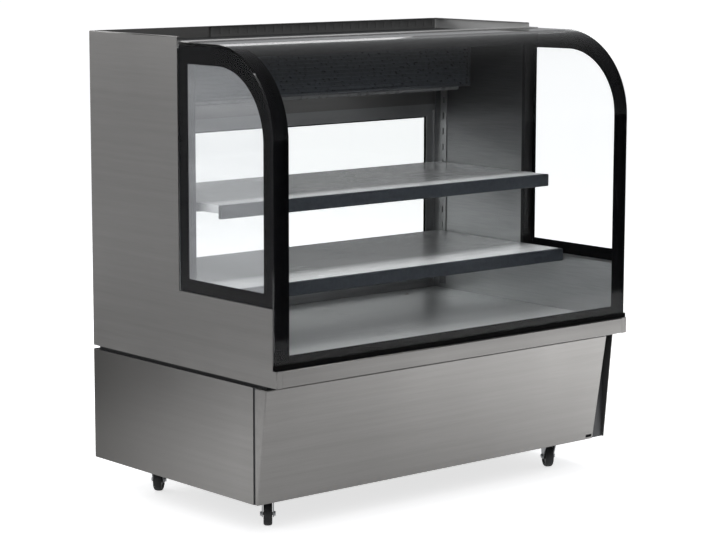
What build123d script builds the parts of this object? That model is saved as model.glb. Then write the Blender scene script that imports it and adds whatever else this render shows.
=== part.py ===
from build123d import *
import os
from math import cos, radians, sin

os.makedirs("parts", exist_ok=True)

# Refrigerated pastry display case: a steel cabinet on castors, a curved front glass,
# two shelves over a deck, sliding rear doors, and a condensing unit in the base.
# X runs along the counter, the front faces -Y, and Z is up from the floor.

# Overall size of the case
case_width = 1200.0
case_depth = 766.0
castor_height = 90.0
base_height = 288.0
shadow_gap = 10.0
body_height = 815.0

# Sheet steel and insulated walls
skin = 1.5
wall = 38.0
fold = 18.0
seat_gap = 0.3
panel_gap = 0.5

# Side view of the upper body
rear_section_depth = 380.0
jamb_lap = 24.0
side_sill_height = 189.0
fascia_height = 41.0
glass_drop = 13.0
glass_setback = 8.0
roof_drop = 29.0
roof_thickness = 25.0
ceiling_lip = 40.0
door_head_height = 572.0

# Glass and its black printed borders
glass = 6.0
glass_radius = 220.0
glass_joint = 1.0
ink = 0.4
front_border_side = 49.0
front_border_bottom = 33.0
front_border_top = 40.0
side_border_front = 38.0
side_border_top = 45.0
side_border_rear = 31.0
side_border_bottom = 33.0
seal_height = 12.0
seal_wall = 2.5

# Lower cabinet
front_panel_setback = 40.0
front_panel_lean = 36.0
front_panel_rear = 83.0
panel_right_top = 34.0
panel_right_foot = 45.0
right_side_top = 10.0
right_side_foot = 1.5
corner_gap = 8.0
post_size = 30.0
post_wall = 2.5
pan_wall = 2.0
pan_height = 30.0
plinth_inset = 12.0
plinth_width = 40.0
rear_recess = 9.0
service_split_from_side = 375.0
louvre_width = 150.0
louvre_pitch = 24.0
louvre_rise = 12.0
louvre_proud = 7.0
louvre_rows = 9
louvre_column_gap = 36.0
louvre_first_rise = 34.0

# Deck and shelves
deck_rise = 1.0
shelf_side_gap = 4.0
shelf_rear_gap = 20.0
shelf_edge = 33.0
shelf_skirt = 20.0
nosing_depth = 14.0
nosing_round = 2.5
nosing_wall = 3.0
upper_shelf_front = 262.0
upper_shelf_height = 366.0
middle_shelf_front = 203.0
middle_shelf_height = 167.0
bracket_thickness = 3.0
bracket_root = 62.0
bracket_tip = 16.0
upright_width = 25.0
upright_thickness = 2.5
upright_from_rear = 76.0
upright_pitch = 45.0
lamp_width = 14.0
lamp_height = 9.0
lamp_end_gap = 46.0

# Evaporator housing under the ceiling
housing_depth = 150.0
housing_height = 129.0
housing_wall = 2.0
housing_slots = 9
slot_height = 5.0
slot_pitch = 12.0
coil_fin = 1.6
evaporator_width = 900.0
evaporator_pitch = 20.0
fan_radius = 44.0
fan_spread = 520.0

# Sliding rear doors
door_thickness = 13.0
door_overlap = 40.0
door_stile = 26.0
door_rail = 30.0
door_glass = 5.0
track_wall = 2.0
track_play = 1.0
track_height_upper = 18.0
track_height_lower = 12.0
jamb_trim = 4.0
glide_height = 3.0

# Condensing unit
condenser_width = 320.0
condenser_height = 216.0
condenser_depth = 40.0
condenser_pitch = 12.0
condenser_from_side = 270.0
shroud_depth = 34.0
condenser_fan_radius = 90.0
compressor_radius = 84.0
compressor_height = 176.0
compressor_from_condenser = 350.0
compressor_y = 130.0
tube_radius = 4.8

# Castors
castor_from_side = 110.0
castor_front_y = -208.0
castor_rear_y = 258.0
castor_trail = 18.0
wheel_radius = 30.0
wheel_width = 22.0
axle_radius = 4.0
kingpin_radius = 5.0
running_gap = 0.05
castor_plate = 60.0

# Levels and planes that the pieces share
half_width = case_width / 2
front_y = -case_depth / 2
rear_y = case_depth / 2
base_bottom = castor_height
base_top = base_bottom + base_height
seam = base_top + shadow_gap
body_top = seam + body_height
section_y = rear_y - rear_section_depth
jamb_y = section_y - jamb_lap
side_sill = seam + side_sill_height
fascia_top = seam + fascia_height
glass_top = body_top - glass_drop
glass_front = front_y + glass_setback
glass_inner = glass_front + glass
side_glass_front = glass_inner + glass_joint
glass_rear = section_y - glass_joint
liner_x = half_width - wall
core_x = half_width - skin
rear_core = rear_y - skin
rear_liner = rear_y - wall
roof_top = body_top - roof_drop
ceiling = roof_top - roof_thickness
deck_top = fascia_top + deck_rise
floor_top = deck_top - skin
door_head = seam + door_head_height
arc_y = glass_front + glass_radius
arc_z = glass_top - glass_radius
glass_bottom = fascia_top + seal_wall
service_split_x = half_width - service_split_from_side
condenser_x = -half_width + condenser_from_side
compressor_x = condenser_x + compressor_from_condenser
castor_x = half_width - castor_from_side


def save(piece, name):
    """Label one finished piece and write it to its own file."""
    piece.label = name
    export_step(piece, "parts/" + name + ".step")


def block(low, high, mode=Mode.ADD):
    """A rectangular block between two opposite corners."""
    middle = [(a + b) / 2 for a, b in zip(low, high)]
    size = [b - a for a, b in zip(low, high)]
    with Locations(tuple(middle)):
        Box(size[0], size[1], size[2], mode=mode)


def pane_outline(inset, bottom, rear, mode=Mode.ADD):
    """Side view of the case front: upright, quarter round and flat top, moved in by inset."""
    radius = glass_radius - inset
    upright_y = glass_front + inset
    with BuildLine(mode=Mode.PRIVATE) as outline:
        Line((rear, bottom), (upright_y, bottom))
        Line((upright_y, bottom), (upright_y, arc_z))
        RadiusArc((upright_y, arc_z), (arc_y, arc_z + radius), radius)
        Line((arc_y, arc_z + radius), (rear, arc_z + radius))
        Line((rear, arc_z + radius), (rear, bottom))
    make_face(outline.edges(), mode=mode)


# Lower cabinet: chassis pan with its air slots, four angle posts and a top ring, all welded up
chassis_front = front_y + front_panel_rear + panel_gap
chassis_x = half_width - skin - 1.0
chassis_rear = rear_y - rear_recess - panel_gap
pan_floor = base_bottom + pan_wall
condenser_y = rear_y - rear_recess - 8.0 - condenser_depth / 2
ring_height = 3.0
ring_width = 45.0
screw_x = half_width - fold - 8.0
screw_levels = (base_bottom + 40.0, base_bottom + base_height / 2, base_top - 40.0)
screw_hole = 2.3
air_slot_width = 14.0
air_slot_length = 48.0
air_slot_pitch_x = 36.0
air_slot_pitch_y = 64.0
air_slots_before_coil = 150.0
with BuildPart() as chassis:
    block((-chassis_x, chassis_front, base_bottom), (chassis_x, chassis_rear, base_bottom + pan_height))
    offset(amount=-pan_wall, openings=chassis.faces().sort_by(Axis.Z)[-1])
    air_slots_y = condenser_y - air_slots_before_coil
    with Locations((condenser_x, air_slots_y, base_bottom + pan_wall / 2)):
        with GridLocations(air_slot_pitch_x, air_slot_pitch_y, 8, 2):
            Box(air_slot_width, air_slot_length, pan_wall, mode=Mode.SUBTRACT)
    with BuildSketch(Plane.XY.offset(base_bottom)):
        for side in (-1, 1):
            for y, inward in ((chassis_front, 1), (chassis_rear, -1)):
                with BuildLine():
                    Polyline(
                        (side * chassis_x, y),
                        (side * (chassis_x - post_size), y),
                        (side * (chassis_x - post_size), y + inward * post_wall),
                        (side * (chassis_x - post_wall), y + inward * post_wall),
                        (side * (chassis_x - post_wall), y + inward * post_size),
                        (side * chassis_x, y + inward * post_size),
                        close=True,
                    )
                make_face()
    extrude(amount=base_height - ring_height)
    with BuildSketch(Plane.XY.offset(base_top - ring_height)):
        with Locations((0, (chassis_front + chassis_rear) / 2)):
            Rectangle(2 * chassis_x, chassis_rear - chassis_front)
            Rectangle(
                2 * (chassis_x - ring_width),
                chassis_rear - chassis_front - 2 * ring_width,
                mode=Mode.SUBTRACT,
            )
    extrude(amount=ring_height)
    for side in (-1, 1):
        for z in screw_levels:
            with Locations((side * screw_x, chassis_rear - post_wall / 2, z)):
                Cylinder(screw_hole, post_wall, rotation=(90, 0, 0), mode=Mode.SUBTRACT)
save(chassis.part, "base_chassis")

# Plinth: a dark hollow spacer, set back to leave the shadow line under the upper body
plinth_front = front_y + front_panel_setback + plinth_inset
with BuildPart() as plinth:
    with BuildSketch(Plane.XY.offset(base_top)):
        plinth_depth = rear_y - plinth_inset - plinth_front
        with Locations((0, plinth_front + plinth_depth / 2)):
            Rectangle(2 * (half_width - plinth_inset), plinth_depth)
            Rectangle(
                2 * (half_width - plinth_inset - plinth_width),
                plinth_depth - 2 * plinth_width,
                mode=Mode.SUBTRACT,
            )
    extrude(amount=shadow_gap)
save(plinth.part, "plinth")

# Side panels of the lower cabinet, with a return round the rear corner. The right one runs
# forward past the end of the front panel, its front edge leaning with that panel.
side_panel_front = front_y + front_panel_rear + corner_gap
panel_top_y = front_y + front_panel_setback
panel_foot_y = panel_top_y + front_panel_lean
panel_rear_y = front_y + front_panel_rear
service_x = half_width - fold
base_sides = []
for side in (-1, 1):
    with BuildPart() as base_side:
        with BuildSketch(Plane.XY.offset(base_bottom)):
            with BuildLine():
                Polyline(
                    (side * half_width, side_panel_front),
                    (side * half_width, rear_y),
                    (side * service_x, rear_y),
                    (side * service_x, rear_y - skin),
                    (side * (half_width - skin), rear_y - skin),
                    (side * (half_width - skin), side_panel_front),
                    close=True,
                )
            make_face()
        extrude(amount=base_height)
        if side == 1:
            with BuildSketch(Plane.YZ.offset(half_width - skin)):
                Polygon(
                    (panel_top_y + right_side_top, base_top),
                    (side_panel_front, base_top),
                    (side_panel_front, base_bottom),
                    (panel_foot_y + right_side_foot, base_bottom),
                    align=None,
                )
            extrude(amount=skin)
    base_sides.append(base_side.part)
save(Compound(children=base_sides), "base_sides")

# Front service panel: leans back towards the floor, wraps round the left corner and stops
# short of the right side panel, with a small hand slot low at that end
hand_slot_width = 22.0
hand_slot_height = 8.0
hand_slot_from_end = 6.0
hand_slot_rise = 6.0
with BuildPart() as service_panel:
    with BuildSketch(Plane.YZ.offset(-half_width)):
        Polygon(
            (panel_top_y, base_top),
            (panel_rear_y, base_top),
            (panel_rear_y, base_bottom),
            (panel_foot_y, base_bottom),
            align=None,
        )
    extrude(amount=case_width)
    panel_end = half_width - panel_right_foot
    with BuildSketch(Plane.XZ.offset(-panel_rear_y)):
        Polygon(
            (half_width - panel_right_top, base_top),
            (half_width, base_top),
            (half_width, base_bottom),
            (panel_end, base_bottom),
            align=None,
        )
    extrude(amount=front_panel_rear, mode=Mode.SUBTRACT)
    offset(amount=-skin, openings=service_panel.faces().filter_by(Axis.Y).sort_by(Axis.Y)[-1])
    slot_x = panel_end - hand_slot_from_end
    slot_z = base_bottom + hand_slot_rise
    block(
        (slot_x - hand_slot_width, panel_top_y, slot_z),
        (slot_x, panel_foot_y + 2 * skin, slot_z + hand_slot_height),
        mode=Mode.SUBTRACT,
    )
save(service_panel.part, "front_service_panel")

# Rear service panel: a recessed tray with two columns of pressed louvres
rear_panel_low = base_bottom + pan_wall
rear_sheet_y = rear_y - rear_recess
split_gap = panel_gap / 2


def recessed_tray(x_low, x_high, screw_side):
    """A rear panel set in by the recess, its rim turned back out to the case's rear face."""
    block((x_low, rear_sheet_y, rear_panel_low), (x_high, rear_y, base_top))
    rear_faces = BuildPart._get_context().faces().filter_by(Axis.Y)
    offset(amount=-skin, openings=rear_faces.sort_by(Axis.Y)[-1])
    for z in screw_levels:
        with Locations((screw_side * screw_x, rear_sheet_y + skin / 2, z)):
            Cylinder(screw_hole, skin, rotation=(90, 0, 0), mode=Mode.SUBTRACT)


louvre_low = rear_panel_low + louvre_first_rise
with BuildPart() as rear_panel:
    recessed_tray(-service_x + panel_gap, service_split_x - split_gap, -1)
    outer_y = rear_sheet_y + skin
    for column in (-1, 1):
        for row in range(louvre_rows):
            x = condenser_x + column * (louvre_width + louvre_column_gap) / 2
            z = louvre_low + row * louvre_pitch
            with BuildSketch(Plane.YZ.offset(x - louvre_width / 2)):
                Polygon(
                    (outer_y, z),
                    (outer_y + louvre_proud, z),
                    (outer_y, z + louvre_rise),
                    align=None,
                )
            extrude(amount=louvre_width)
            with BuildSketch(Plane.YZ.offset(x - louvre_width / 2 + skin)):
                Polygon(
                    (rear_sheet_y, z),
                    (outer_y + louvre_proud - 2 * skin, z),
                    (outer_y, z + louvre_rise - 2 * skin),
                    (rear_sheet_y, z + louvre_rise - 2 * skin),
                    align=None,
                )
            extrude(amount=louvre_width - 2 * skin, mode=Mode.SUBTRACT)
save(rear_panel.part, "rear_service_panel")

# Control panel beside it, with cut-outs for the operator's unit and the power inlet
control_x = (service_split_x + service_x) / 2
control_drop = 74.0
control_z = base_top - control_drop
unit_width = 190.0
unit_height = 34.0
unit_lip = 4.0
inlet_width = 48.0
inlet_height = 27.0
inlet_aside = 60.0
inlet_rise = 46.0
inlet_x = control_x + inlet_aside
inlet_z = rear_panel_low + inlet_rise
with BuildPart() as control_panel:
    recessed_tray(service_split_x + split_gap, service_x - panel_gap, 1)
    with BuildSketch(Plane.XZ.offset(-rear_sheet_y)):
        with Locations((control_x, control_z)):
            Rectangle(unit_width, unit_height)
        with Locations((inlet_x, inlet_z)):
            Rectangle(inlet_width, inlet_height)
    extrude(amount=-skin, mode=Mode.SUBTRACT)
save(control_panel.part, "control_panel")

# Upper body: insulated floor of the display well
fascia_return = 22.0
drain_x = control_x
drain_from_rear = 60.0
drain_y = rear_liner - drain_from_rear
drain_radius = 8.7
drain_bore = 7.0
with BuildPart() as floor:
    floor_front = front_y + fascia_return + skin + panel_gap
    block((-liner_x, floor_front, seam), (liner_x, rear_core, floor_top))
    with Locations((drain_x, drain_y, (seam + floor_top) / 2)):
        Cylinder(drain_radius + seat_gap, floor_top - seam, mode=Mode.SUBTRACT)
save(floor.part, "insulated_floor")

# Deck sheet on the floor, its front edge hemmed down
deck_side_gap = 1.0
deck_rear_gap = 2.0
deck_hem = 8.0
deck_rear = rear_liner - deck_rear_gap
with BuildPart() as deck:
    with BuildSketch(Plane.YZ.offset(-liner_x + deck_side_gap)):
        with BuildLine():
            Polyline(
                (floor_front - skin, deck_top),
                (deck_rear, deck_top),
                (deck_rear, floor_top),
                (floor_front, floor_top),
                (floor_front, floor_top - deck_hem),
                (floor_front - skin, floor_top - deck_hem),
                close=True,
            )
        make_face()
    extrude(amount=2 * (liner_x - deck_side_gap))
    with Locations((drain_x, drain_y, deck_top - skin / 2)):
        Cylinder(drain_bore, skin, mode=Mode.SUBTRACT)
save(deck.part, "deck")

# Side skins and the foam-filled side walls behind them
top_return = 12.0
wall_foot_y = front_y + fascia_return
liner_gap = 0.2
rebate_x = half_width - glass - ink - liner_gap
side_walls = []
for side, name in ((-1, "left"), (1, "right")):
    with BuildPart() as side_skin:
        with BuildSketch(Plane.YZ.offset(side * half_width)):
            Polygon(
                (front_y, seam),
                (rear_y, seam),
                (rear_y, body_top),
                (section_y, body_top),
                (section_y, side_sill),
                (side_glass_front, side_sill),
                (side_glass_front, fascia_top),
                (front_y, fascia_top),
                align=None,
            )
        extrude(amount=-side * skin)
        inner = (side * core_x, side * (half_width - fold))
        block((min(inner), front_y, seam), (max(inner), front_y + skin, fascia_top))
        block((min(inner), rear_y - skin, seam), (max(inner), rear_y, body_top))
        lip = (side * core_x, side * (half_width - top_return))
        block((min(lip), section_y, body_top - skin), (max(lip), rear_y - skin, body_top))
    save(side_skin.part, "side_skin_" + name)

    with BuildPart() as side_wall:
        with BuildSketch(Plane.YZ.offset(side * rebate_x)):
            Polygon(
                (wall_foot_y, seam),
                (rear_core, seam),
                (rear_core, roof_top),
                (section_y, roof_top),
                (section_y, side_sill),
                (side_glass_front, side_sill),
                (side_glass_front, fascia_top),
                (wall_foot_y, fascia_top),
                align=None,
            )
        extrude(amount=side * (core_x - rebate_x))
        with BuildSketch(Plane.YZ.offset(side * liner_x)):
            Polygon(
                (wall_foot_y, seam),
                (rear_core, seam),
                (rear_core, ceiling),
                (jamb_y, ceiling),
                (jamb_y, side_sill),
                (side_glass_front, side_sill),
                (side_glass_front, fascia_top),
                (wall_foot_y, fascia_top),
                align=None,
            )
        extrude(amount=side * (rebate_x - liner_x))
    side_walls.append(side_wall.part)
save(Compound(children=side_walls), "side_walls")

# Front fascia between the side skins, folded back top and bottom
fascia_x = half_width - fold - panel_gap
with BuildPart() as fascia:
    with BuildSketch(Plane.YZ.offset(-fascia_x)):
        with BuildLine():
            Polyline(
                (front_y, seam),
                (front_y, fascia_top),
                (front_y + fascia_return, fascia_top),
                (front_y + fascia_return, fascia_top - skin),
                (front_y + skin, fascia_top - skin),
                (front_y + skin, seam + skin),
                (front_y + fascia_return, seam + skin),
                (front_y + fascia_return, seam),
                close=True,
            )
        make_face()
    extrude(amount=2 * fascia_x)
save(fascia.part, "front_fascia")

# Rear: an apron under the doors, and a foam-filled head over them folded up to the roof's edge
rear_x = half_width - fold - panel_gap
with BuildPart() as apron:
    block((-rear_x, rear_core, seam), (rear_x, rear_y, deck_top))
save(apron.part, "rear_apron")

with BuildPart() as rear_head:
    block((-liner_x, rear_liner, door_head), (liner_x, rear_core, ceiling))
    with BuildSketch(Plane.YZ.offset(-rear_x)):
        Polygon(
            (rear_y, door_head),
            (rear_y, body_top),
            (rear_y - top_return, body_top),
            (rear_y - top_return, body_top - skin),
            (rear_core, body_top - skin),
            (rear_core, door_head),
            align=None,
        )
    extrude(amount=2 * rear_x)
save(rear_head.part, "rear_head")

# Roof: an insulated slab let in between the side skins, with a lip under the glass's edge
roof_side_gap = 0.1
roof_x = rebate_x - roof_side_gap
with BuildPart() as roof:
    lip_front = glass_rear - ceiling_lip
    with BuildSketch(Plane.YZ.offset(-roof_x)):
        Polygon(
            (lip_front, ceiling),
            (rear_core, ceiling),
            (rear_core, roof_top),
            (glass_rear, roof_top),
            (glass_rear, glass_top - glass),
            (lip_front, glass_top - glass),
            align=None,
        )
    extrude(amount=2 * roof_x)
save(roof.part, "roof_panel")

# Dark vent strip inside the rear upstand of the roof, with a row of shallow pressed slots
vent_left = -215.0
vent_depth = 5.0
vent_slots = 26
vent_slot_width = 20.0
vent_slot_depth = 2.0
vent_margin = 6.0
vent_z = (roof_top, body_top - skin)
vent_x = (vent_left, half_width - top_return)
with BuildPart() as roof_vent:
    block((vent_x[0], rear_core - vent_depth, vent_z[0]), (vent_x[1], rear_core, vent_z[1]))
    slot_y = rear_core - vent_depth + vent_slot_depth / 2
    slot_rise = vent_z[1] - vent_z[0] - 2 * vent_margin
    with Locations((sum(vent_x) / 2, slot_y, sum(vent_z) / 2)):
        slot_pitch_x = (vent_x[1] - vent_x[0] - 2 * vent_margin) / vent_slots
        with GridLocations(slot_pitch_x, vent_slot_width, vent_slots, 1):
            Box(vent_slot_width, vent_slot_depth, slot_rise, mode=Mode.SUBTRACT)
save(roof_vent.part, "roof_vent")

# Curved front glass, standing in its seal and lying on the roof's lip
with BuildPart() as front_glass:
    with BuildSketch(Plane.YZ.offset(-half_width)):
        pane_outline(0, glass_bottom, glass_rear)
        pane_outline(glass, glass_bottom - 1, glass_rear + 1, mode=Mode.SUBTRACT)
    extrude(amount=case_width)
save(front_glass.part, "front_glass")

# Black border on its inner face, with the clear window left open
border_rear = glass_rear - ceiling_lip
with BuildPart() as front_border:
    with BuildSketch(Plane.YZ.offset(-half_width)):
        pane_outline(glass, glass_bottom, border_rear)
        pane_outline(glass + ink, glass_bottom - 1, border_rear + 1, mode=Mode.SUBTRACT)
    extrude(amount=case_width)
    window_x = half_width - front_border_side
    block(
        (-window_x, glass_inner - 1, fascia_top + front_border_bottom),
        (window_x, border_rear - front_border_top, glass_top),
        mode=Mode.SUBTRACT,
    )
borders = [front_border.part]

# Rubber channel along the fascia that holds the glass's lower edge
with BuildPart() as glass_seal:
    with BuildSketch(Plane.YZ.offset(-half_width)):
        with BuildLine():
            low, high = fascia_top, fascia_top + seal_height
            outer_face = glass_front - seal_wall
            Polyline(
                (outer_face, low),
                (outer_face, high),
                (glass_front, high),
                (glass_front, glass_bottom),
                (glass_inner, glass_bottom),
                (glass_inner, low),
                close=True,
            )
        make_face()
    extrude(amount=case_width)
save(glass_seal.part, "front_glass_seal")

# Side panes, cut to the curve of the front glass, each with its black border
inset = glass + glass_joint
side_panes = []
for side in (-1, 1):
    with BuildPart() as side_glass:
        with BuildSketch(Plane.YZ.offset(side * half_width)):
            pane_outline(inset, side_sill, glass_rear)
        extrude(amount=-side * glass)
    side_panes.append(side_glass.part)

    with BuildPart() as side_border:
        with BuildSketch(Plane.YZ.offset(side * (half_width - glass))):
            pane_outline(inset, side_sill, glass_rear)
            window_radius = glass_radius - inset - side_border_front
            window_y = side_glass_front + side_border_front
            window_top = glass_top - inset - side_border_top
            window_low = side_sill + side_border_bottom
            window_rear = glass_rear - side_border_rear
            with BuildLine():
                Line((window_rear, window_low), (window_y, window_low))
                Line((window_y, window_low), (window_y, window_top - window_radius))
                RadiusArc(
                    (window_y, window_top - window_radius),
                    (window_y + window_radius, window_top),
                    window_radius,
                )
                Line((window_y + window_radius, window_top), (window_rear, window_top))
                Line((window_rear, window_top), (window_rear, window_low))
            make_face(mode=Mode.SUBTRACT)
        extrude(amount=-side * ink)
    borders.append(side_border.part)
save(Compound(children=side_panes), "side_glass")
save(Compound(children=borders), "glass_borders")

# Folded steel rail that clamps the rear edge of the front glass to the roof
rail_sheet = 2.0
rail_foot = 22.0
with BuildPart() as rail:
    with BuildSketch(Plane.YZ.offset(-roof_x)):
        rail_back = glass_rear + panel_gap
        with BuildLine():
            Polyline(
                (lip_front, glass_top),
                (lip_front, glass_top + rail_sheet),
                (rail_back + rail_sheet, glass_top + rail_sheet),
                (rail_back + rail_sheet, roof_top + rail_sheet),
                (rail_back + rail_foot, roof_top + rail_sheet),
                (rail_back + rail_foot, roof_top),
                (rail_back, roof_top),
                (rail_back, glass_top),
                close=True,
            )
        make_face()
    extrude(amount=2 * roof_x)
save(rail.part, "glass_top_rail")

# Rear doorway: upper and lower twin tracks, and a trim up each side, as aluminium extrusions
channel = door_thickness + 2 * track_play
track_depth = 3 * track_wall + 2 * channel
track_x = liner_x - seat_gap
fins = (0, track_wall + channel, 2 * (track_wall + channel))
trim_top = door_head - track_height_upper
trim_low = floor_top + track_wall + track_height_lower
with BuildPart() as tracks:
    with BuildSketch(Plane.YZ.offset(-track_x)):
        with Locations((rear_liner + track_depth / 2, floor_top + track_wall / 2)):
            Rectangle(track_depth, track_wall)
        with Locations((rear_liner + track_depth / 2, door_head - track_wall / 2)):
            Rectangle(track_depth, track_wall)
        for fin in fins:
            fin_y = rear_liner + fin + track_wall / 2
            with Locations((fin_y, (floor_top + trim_low) / 2)):
                Rectangle(track_wall, trim_low - floor_top)
            with Locations((fin_y, (door_head + trim_top) / 2)):
                Rectangle(track_wall, door_head - trim_top)
    extrude(amount=2 * track_x)
    for side in (-1, 1):
        edge = (side * track_x, side * (track_x - jamb_trim))
        block((min(edge), rear_liner, trim_low), (max(edge), rear_liner + track_depth, trim_top))
save(tracks.part, "door_tracks")

# Two sliding doors: aluminium frames that hold their glass in a groove, with a sunk finger pull
doorway = 2 * (track_x - jamb_trim)
door_width = (doorway + door_overlap) / 2
door_bottom = floor_top + track_wall + glide_height
door_top_play = 3.5
door_top = door_head - track_wall - door_top_play
glass_lap = 8.0
runner_length = 44.0
runner_inset = 70.0
pull_width = 14.0
pull_length = 90.0
pull_depth = 5.0
end_play = 0.5
door_plan = (
    ("left", -1, rear_liner + track_wall + channel / 2 + track_wall + channel),
    ("right", 1, rear_liner + track_wall + channel / 2),
)
for name, side, door_y in door_plan:
    door_x = side * (doorway - door_width - end_play) / 2
    low_y = door_y - door_thickness / 2
    high_y = door_y + door_thickness / 2
    x0, x1 = door_x - door_width / 2, door_x + door_width / 2
    pane_x = (x0 + door_stile - glass_lap, x1 - door_stile + glass_lap)
    pane_z = (door_bottom + door_rail - glass_lap, door_top - door_rail + glass_lap)
    with BuildPart() as door_frame:
        block((x0, low_y, door_bottom), (x1, high_y, door_top))
        block(
            (x0 + door_stile, low_y, door_bottom + door_rail),
            (x1 - door_stile, high_y, door_top - door_rail),
            mode=Mode.SUBTRACT,
        )
        groove = door_glass / 2 + 0.1
        block(
            (pane_x[0] - 0.1, door_y - groove, pane_z[0] - 0.1),
            (pane_x[1] + 0.1, door_y + groove, pane_z[1] + 0.1),
            mode=Mode.SUBTRACT,
        )
        for x in (x0 + runner_inset, x1 - runner_inset):
            runner = (x - runner_length / 2, x + runner_length / 2)
            block(
                (runner[0], low_y, floor_top + track_wall + seat_gap),
                (runner[1], high_y, door_bottom),
            )
        pull_x = door_x + side * (door_width - door_stile) / 2
        with Locations((pull_x, high_y - pull_depth / 2, (door_bottom + door_top) / 2)):
            Box(pull_width, pull_depth, pull_length, mode=Mode.SUBTRACT)
    save(door_frame.part, "rear_door_frame_" + name)
    with BuildPart() as pane:
        block(
            (pane_x[0], door_y - door_glass / 2, pane_z[0]),
            (pane_x[1], door_y + door_glass / 2, pane_z[1]),
        )
    save(pane.part, "rear_door_glass_" + name)

# Two steel shelves, each with a deep front nosing, on brackets hooked into slotted uprights
shelf_x = liner_x - shelf_side_gap
shelf_rear = rear_liner - shelf_rear_gap
shelf_plan = (
    ("upper", front_y + upper_shelf_front, deck_top + upper_shelf_height),
    ("middle", front_y + middle_shelf_front, deck_top + middle_shelf_height),
)
nosings, supports, lamps = [], [], []
upright_y = rear_y - upright_from_rear
upright_face = liner_x - upright_thickness
bracket_x = shelf_x - skin - seat_gap - bracket_thickness
for name, shelf_front, shelf_top in shelf_plan:
    pan_front = shelf_front + nosing_depth
    under = shelf_top - skin
    with BuildPart() as shelf:
        block((-shelf_x, pan_front, shelf_top - shelf_skirt), (shelf_x, shelf_rear, shelf_top))
        offset(amount=-skin, openings=shelf.faces().sort_by(Axis.Z)[0])
    save(shelf.part, name + "_shelf")

    with BuildPart() as nosing:
        with BuildSketch(Plane.YZ.offset(-shelf_x)):
            with Locations((shelf_front + nosing_depth / 2, shelf_top - shelf_edge / 2)):
                nose = Rectangle(nosing_depth, shelf_edge)
            fillet(nose.vertices().group_by(Axis.X)[0], nosing_round)
            with Locations((shelf_front + nosing_depth / 2, shelf_top - shelf_edge / 2)):
                Rectangle(
                    nosing_depth - 2 * nosing_wall, shelf_edge - 2 * nosing_wall, mode=Mode.SUBTRACT
                )
        extrude(amount=2 * shelf_x)
    nosings.append(nosing.part)

    for side in (-1, 1):
        with BuildPart() as bracket:
            with BuildSketch(Plane.YZ.offset(side * bracket_x)):
                root_y = upright_y + upright_width / 2 - 2
                Polygon(
                    (root_y, under),
                    (root_y, under - bracket_root),
                    (root_y - 22, under - bracket_root),
                    (pan_front + 40, under - bracket_tip),
                    (pan_front + 40, under),
                    align=None,
                )
            extrude(amount=side * bracket_thickness)
            plate_x = bracket_x + bracket_thickness
            tab = (side * plate_x, side * (upright_face - 0.2))
            for drop in (30, 30 + upright_pitch / 2):
                block(
                    (min(tab), upright_y - 2, under - drop - 8),
                    (max(tab), upright_y + 2, under - drop),
                )
        supports.append(bracket.part)

    with BuildPart() as lamp:
        lamp_y = pan_front + skin + 3 + lamp_width / 2
        with BuildSketch(Plane.YZ.offset(-shelf_x + lamp_end_gap)):
            with Locations((lamp_y, under - lamp_height / 2)):
                strip = Rectangle(lamp_width, lamp_height)
            chamfer(strip.vertices().group_by(Axis.Y)[0], 3)
        extrude(amount=2 * (shelf_x - lamp_end_gap))
    lamps.append(lamp.part)
save(Compound(children=nosings), "shelf_nosings")

for side in (-1, 1):
    upright_low = deck_top + 12.0
    upright_high = ceiling - housing_height - 12.0
    with BuildPart() as upright:
        edge = (side * liner_x, side * upright_face)
        block(
            (min(edge), upright_y - upright_width / 2, upright_low),
            (max(edge), upright_y + upright_width / 2, upright_high),
        )
        slots = int((upright_high - upright_low) // upright_pitch)
        slot_x = side * (liner_x - upright_thickness / 2)
        with Locations((slot_x, upright_y, (upright_low + upright_high) / 2)):
            for index in range(slots):
                rise = (index - (slots - 1) / 2) * upright_pitch
                with Locations((0, 0, rise)):
                    Box(upright_thickness, 6, 18, mode=Mode.SUBTRACT)
    supports.append(upright.part)
save(Compound(children=supports), "shelf_supports")

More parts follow.
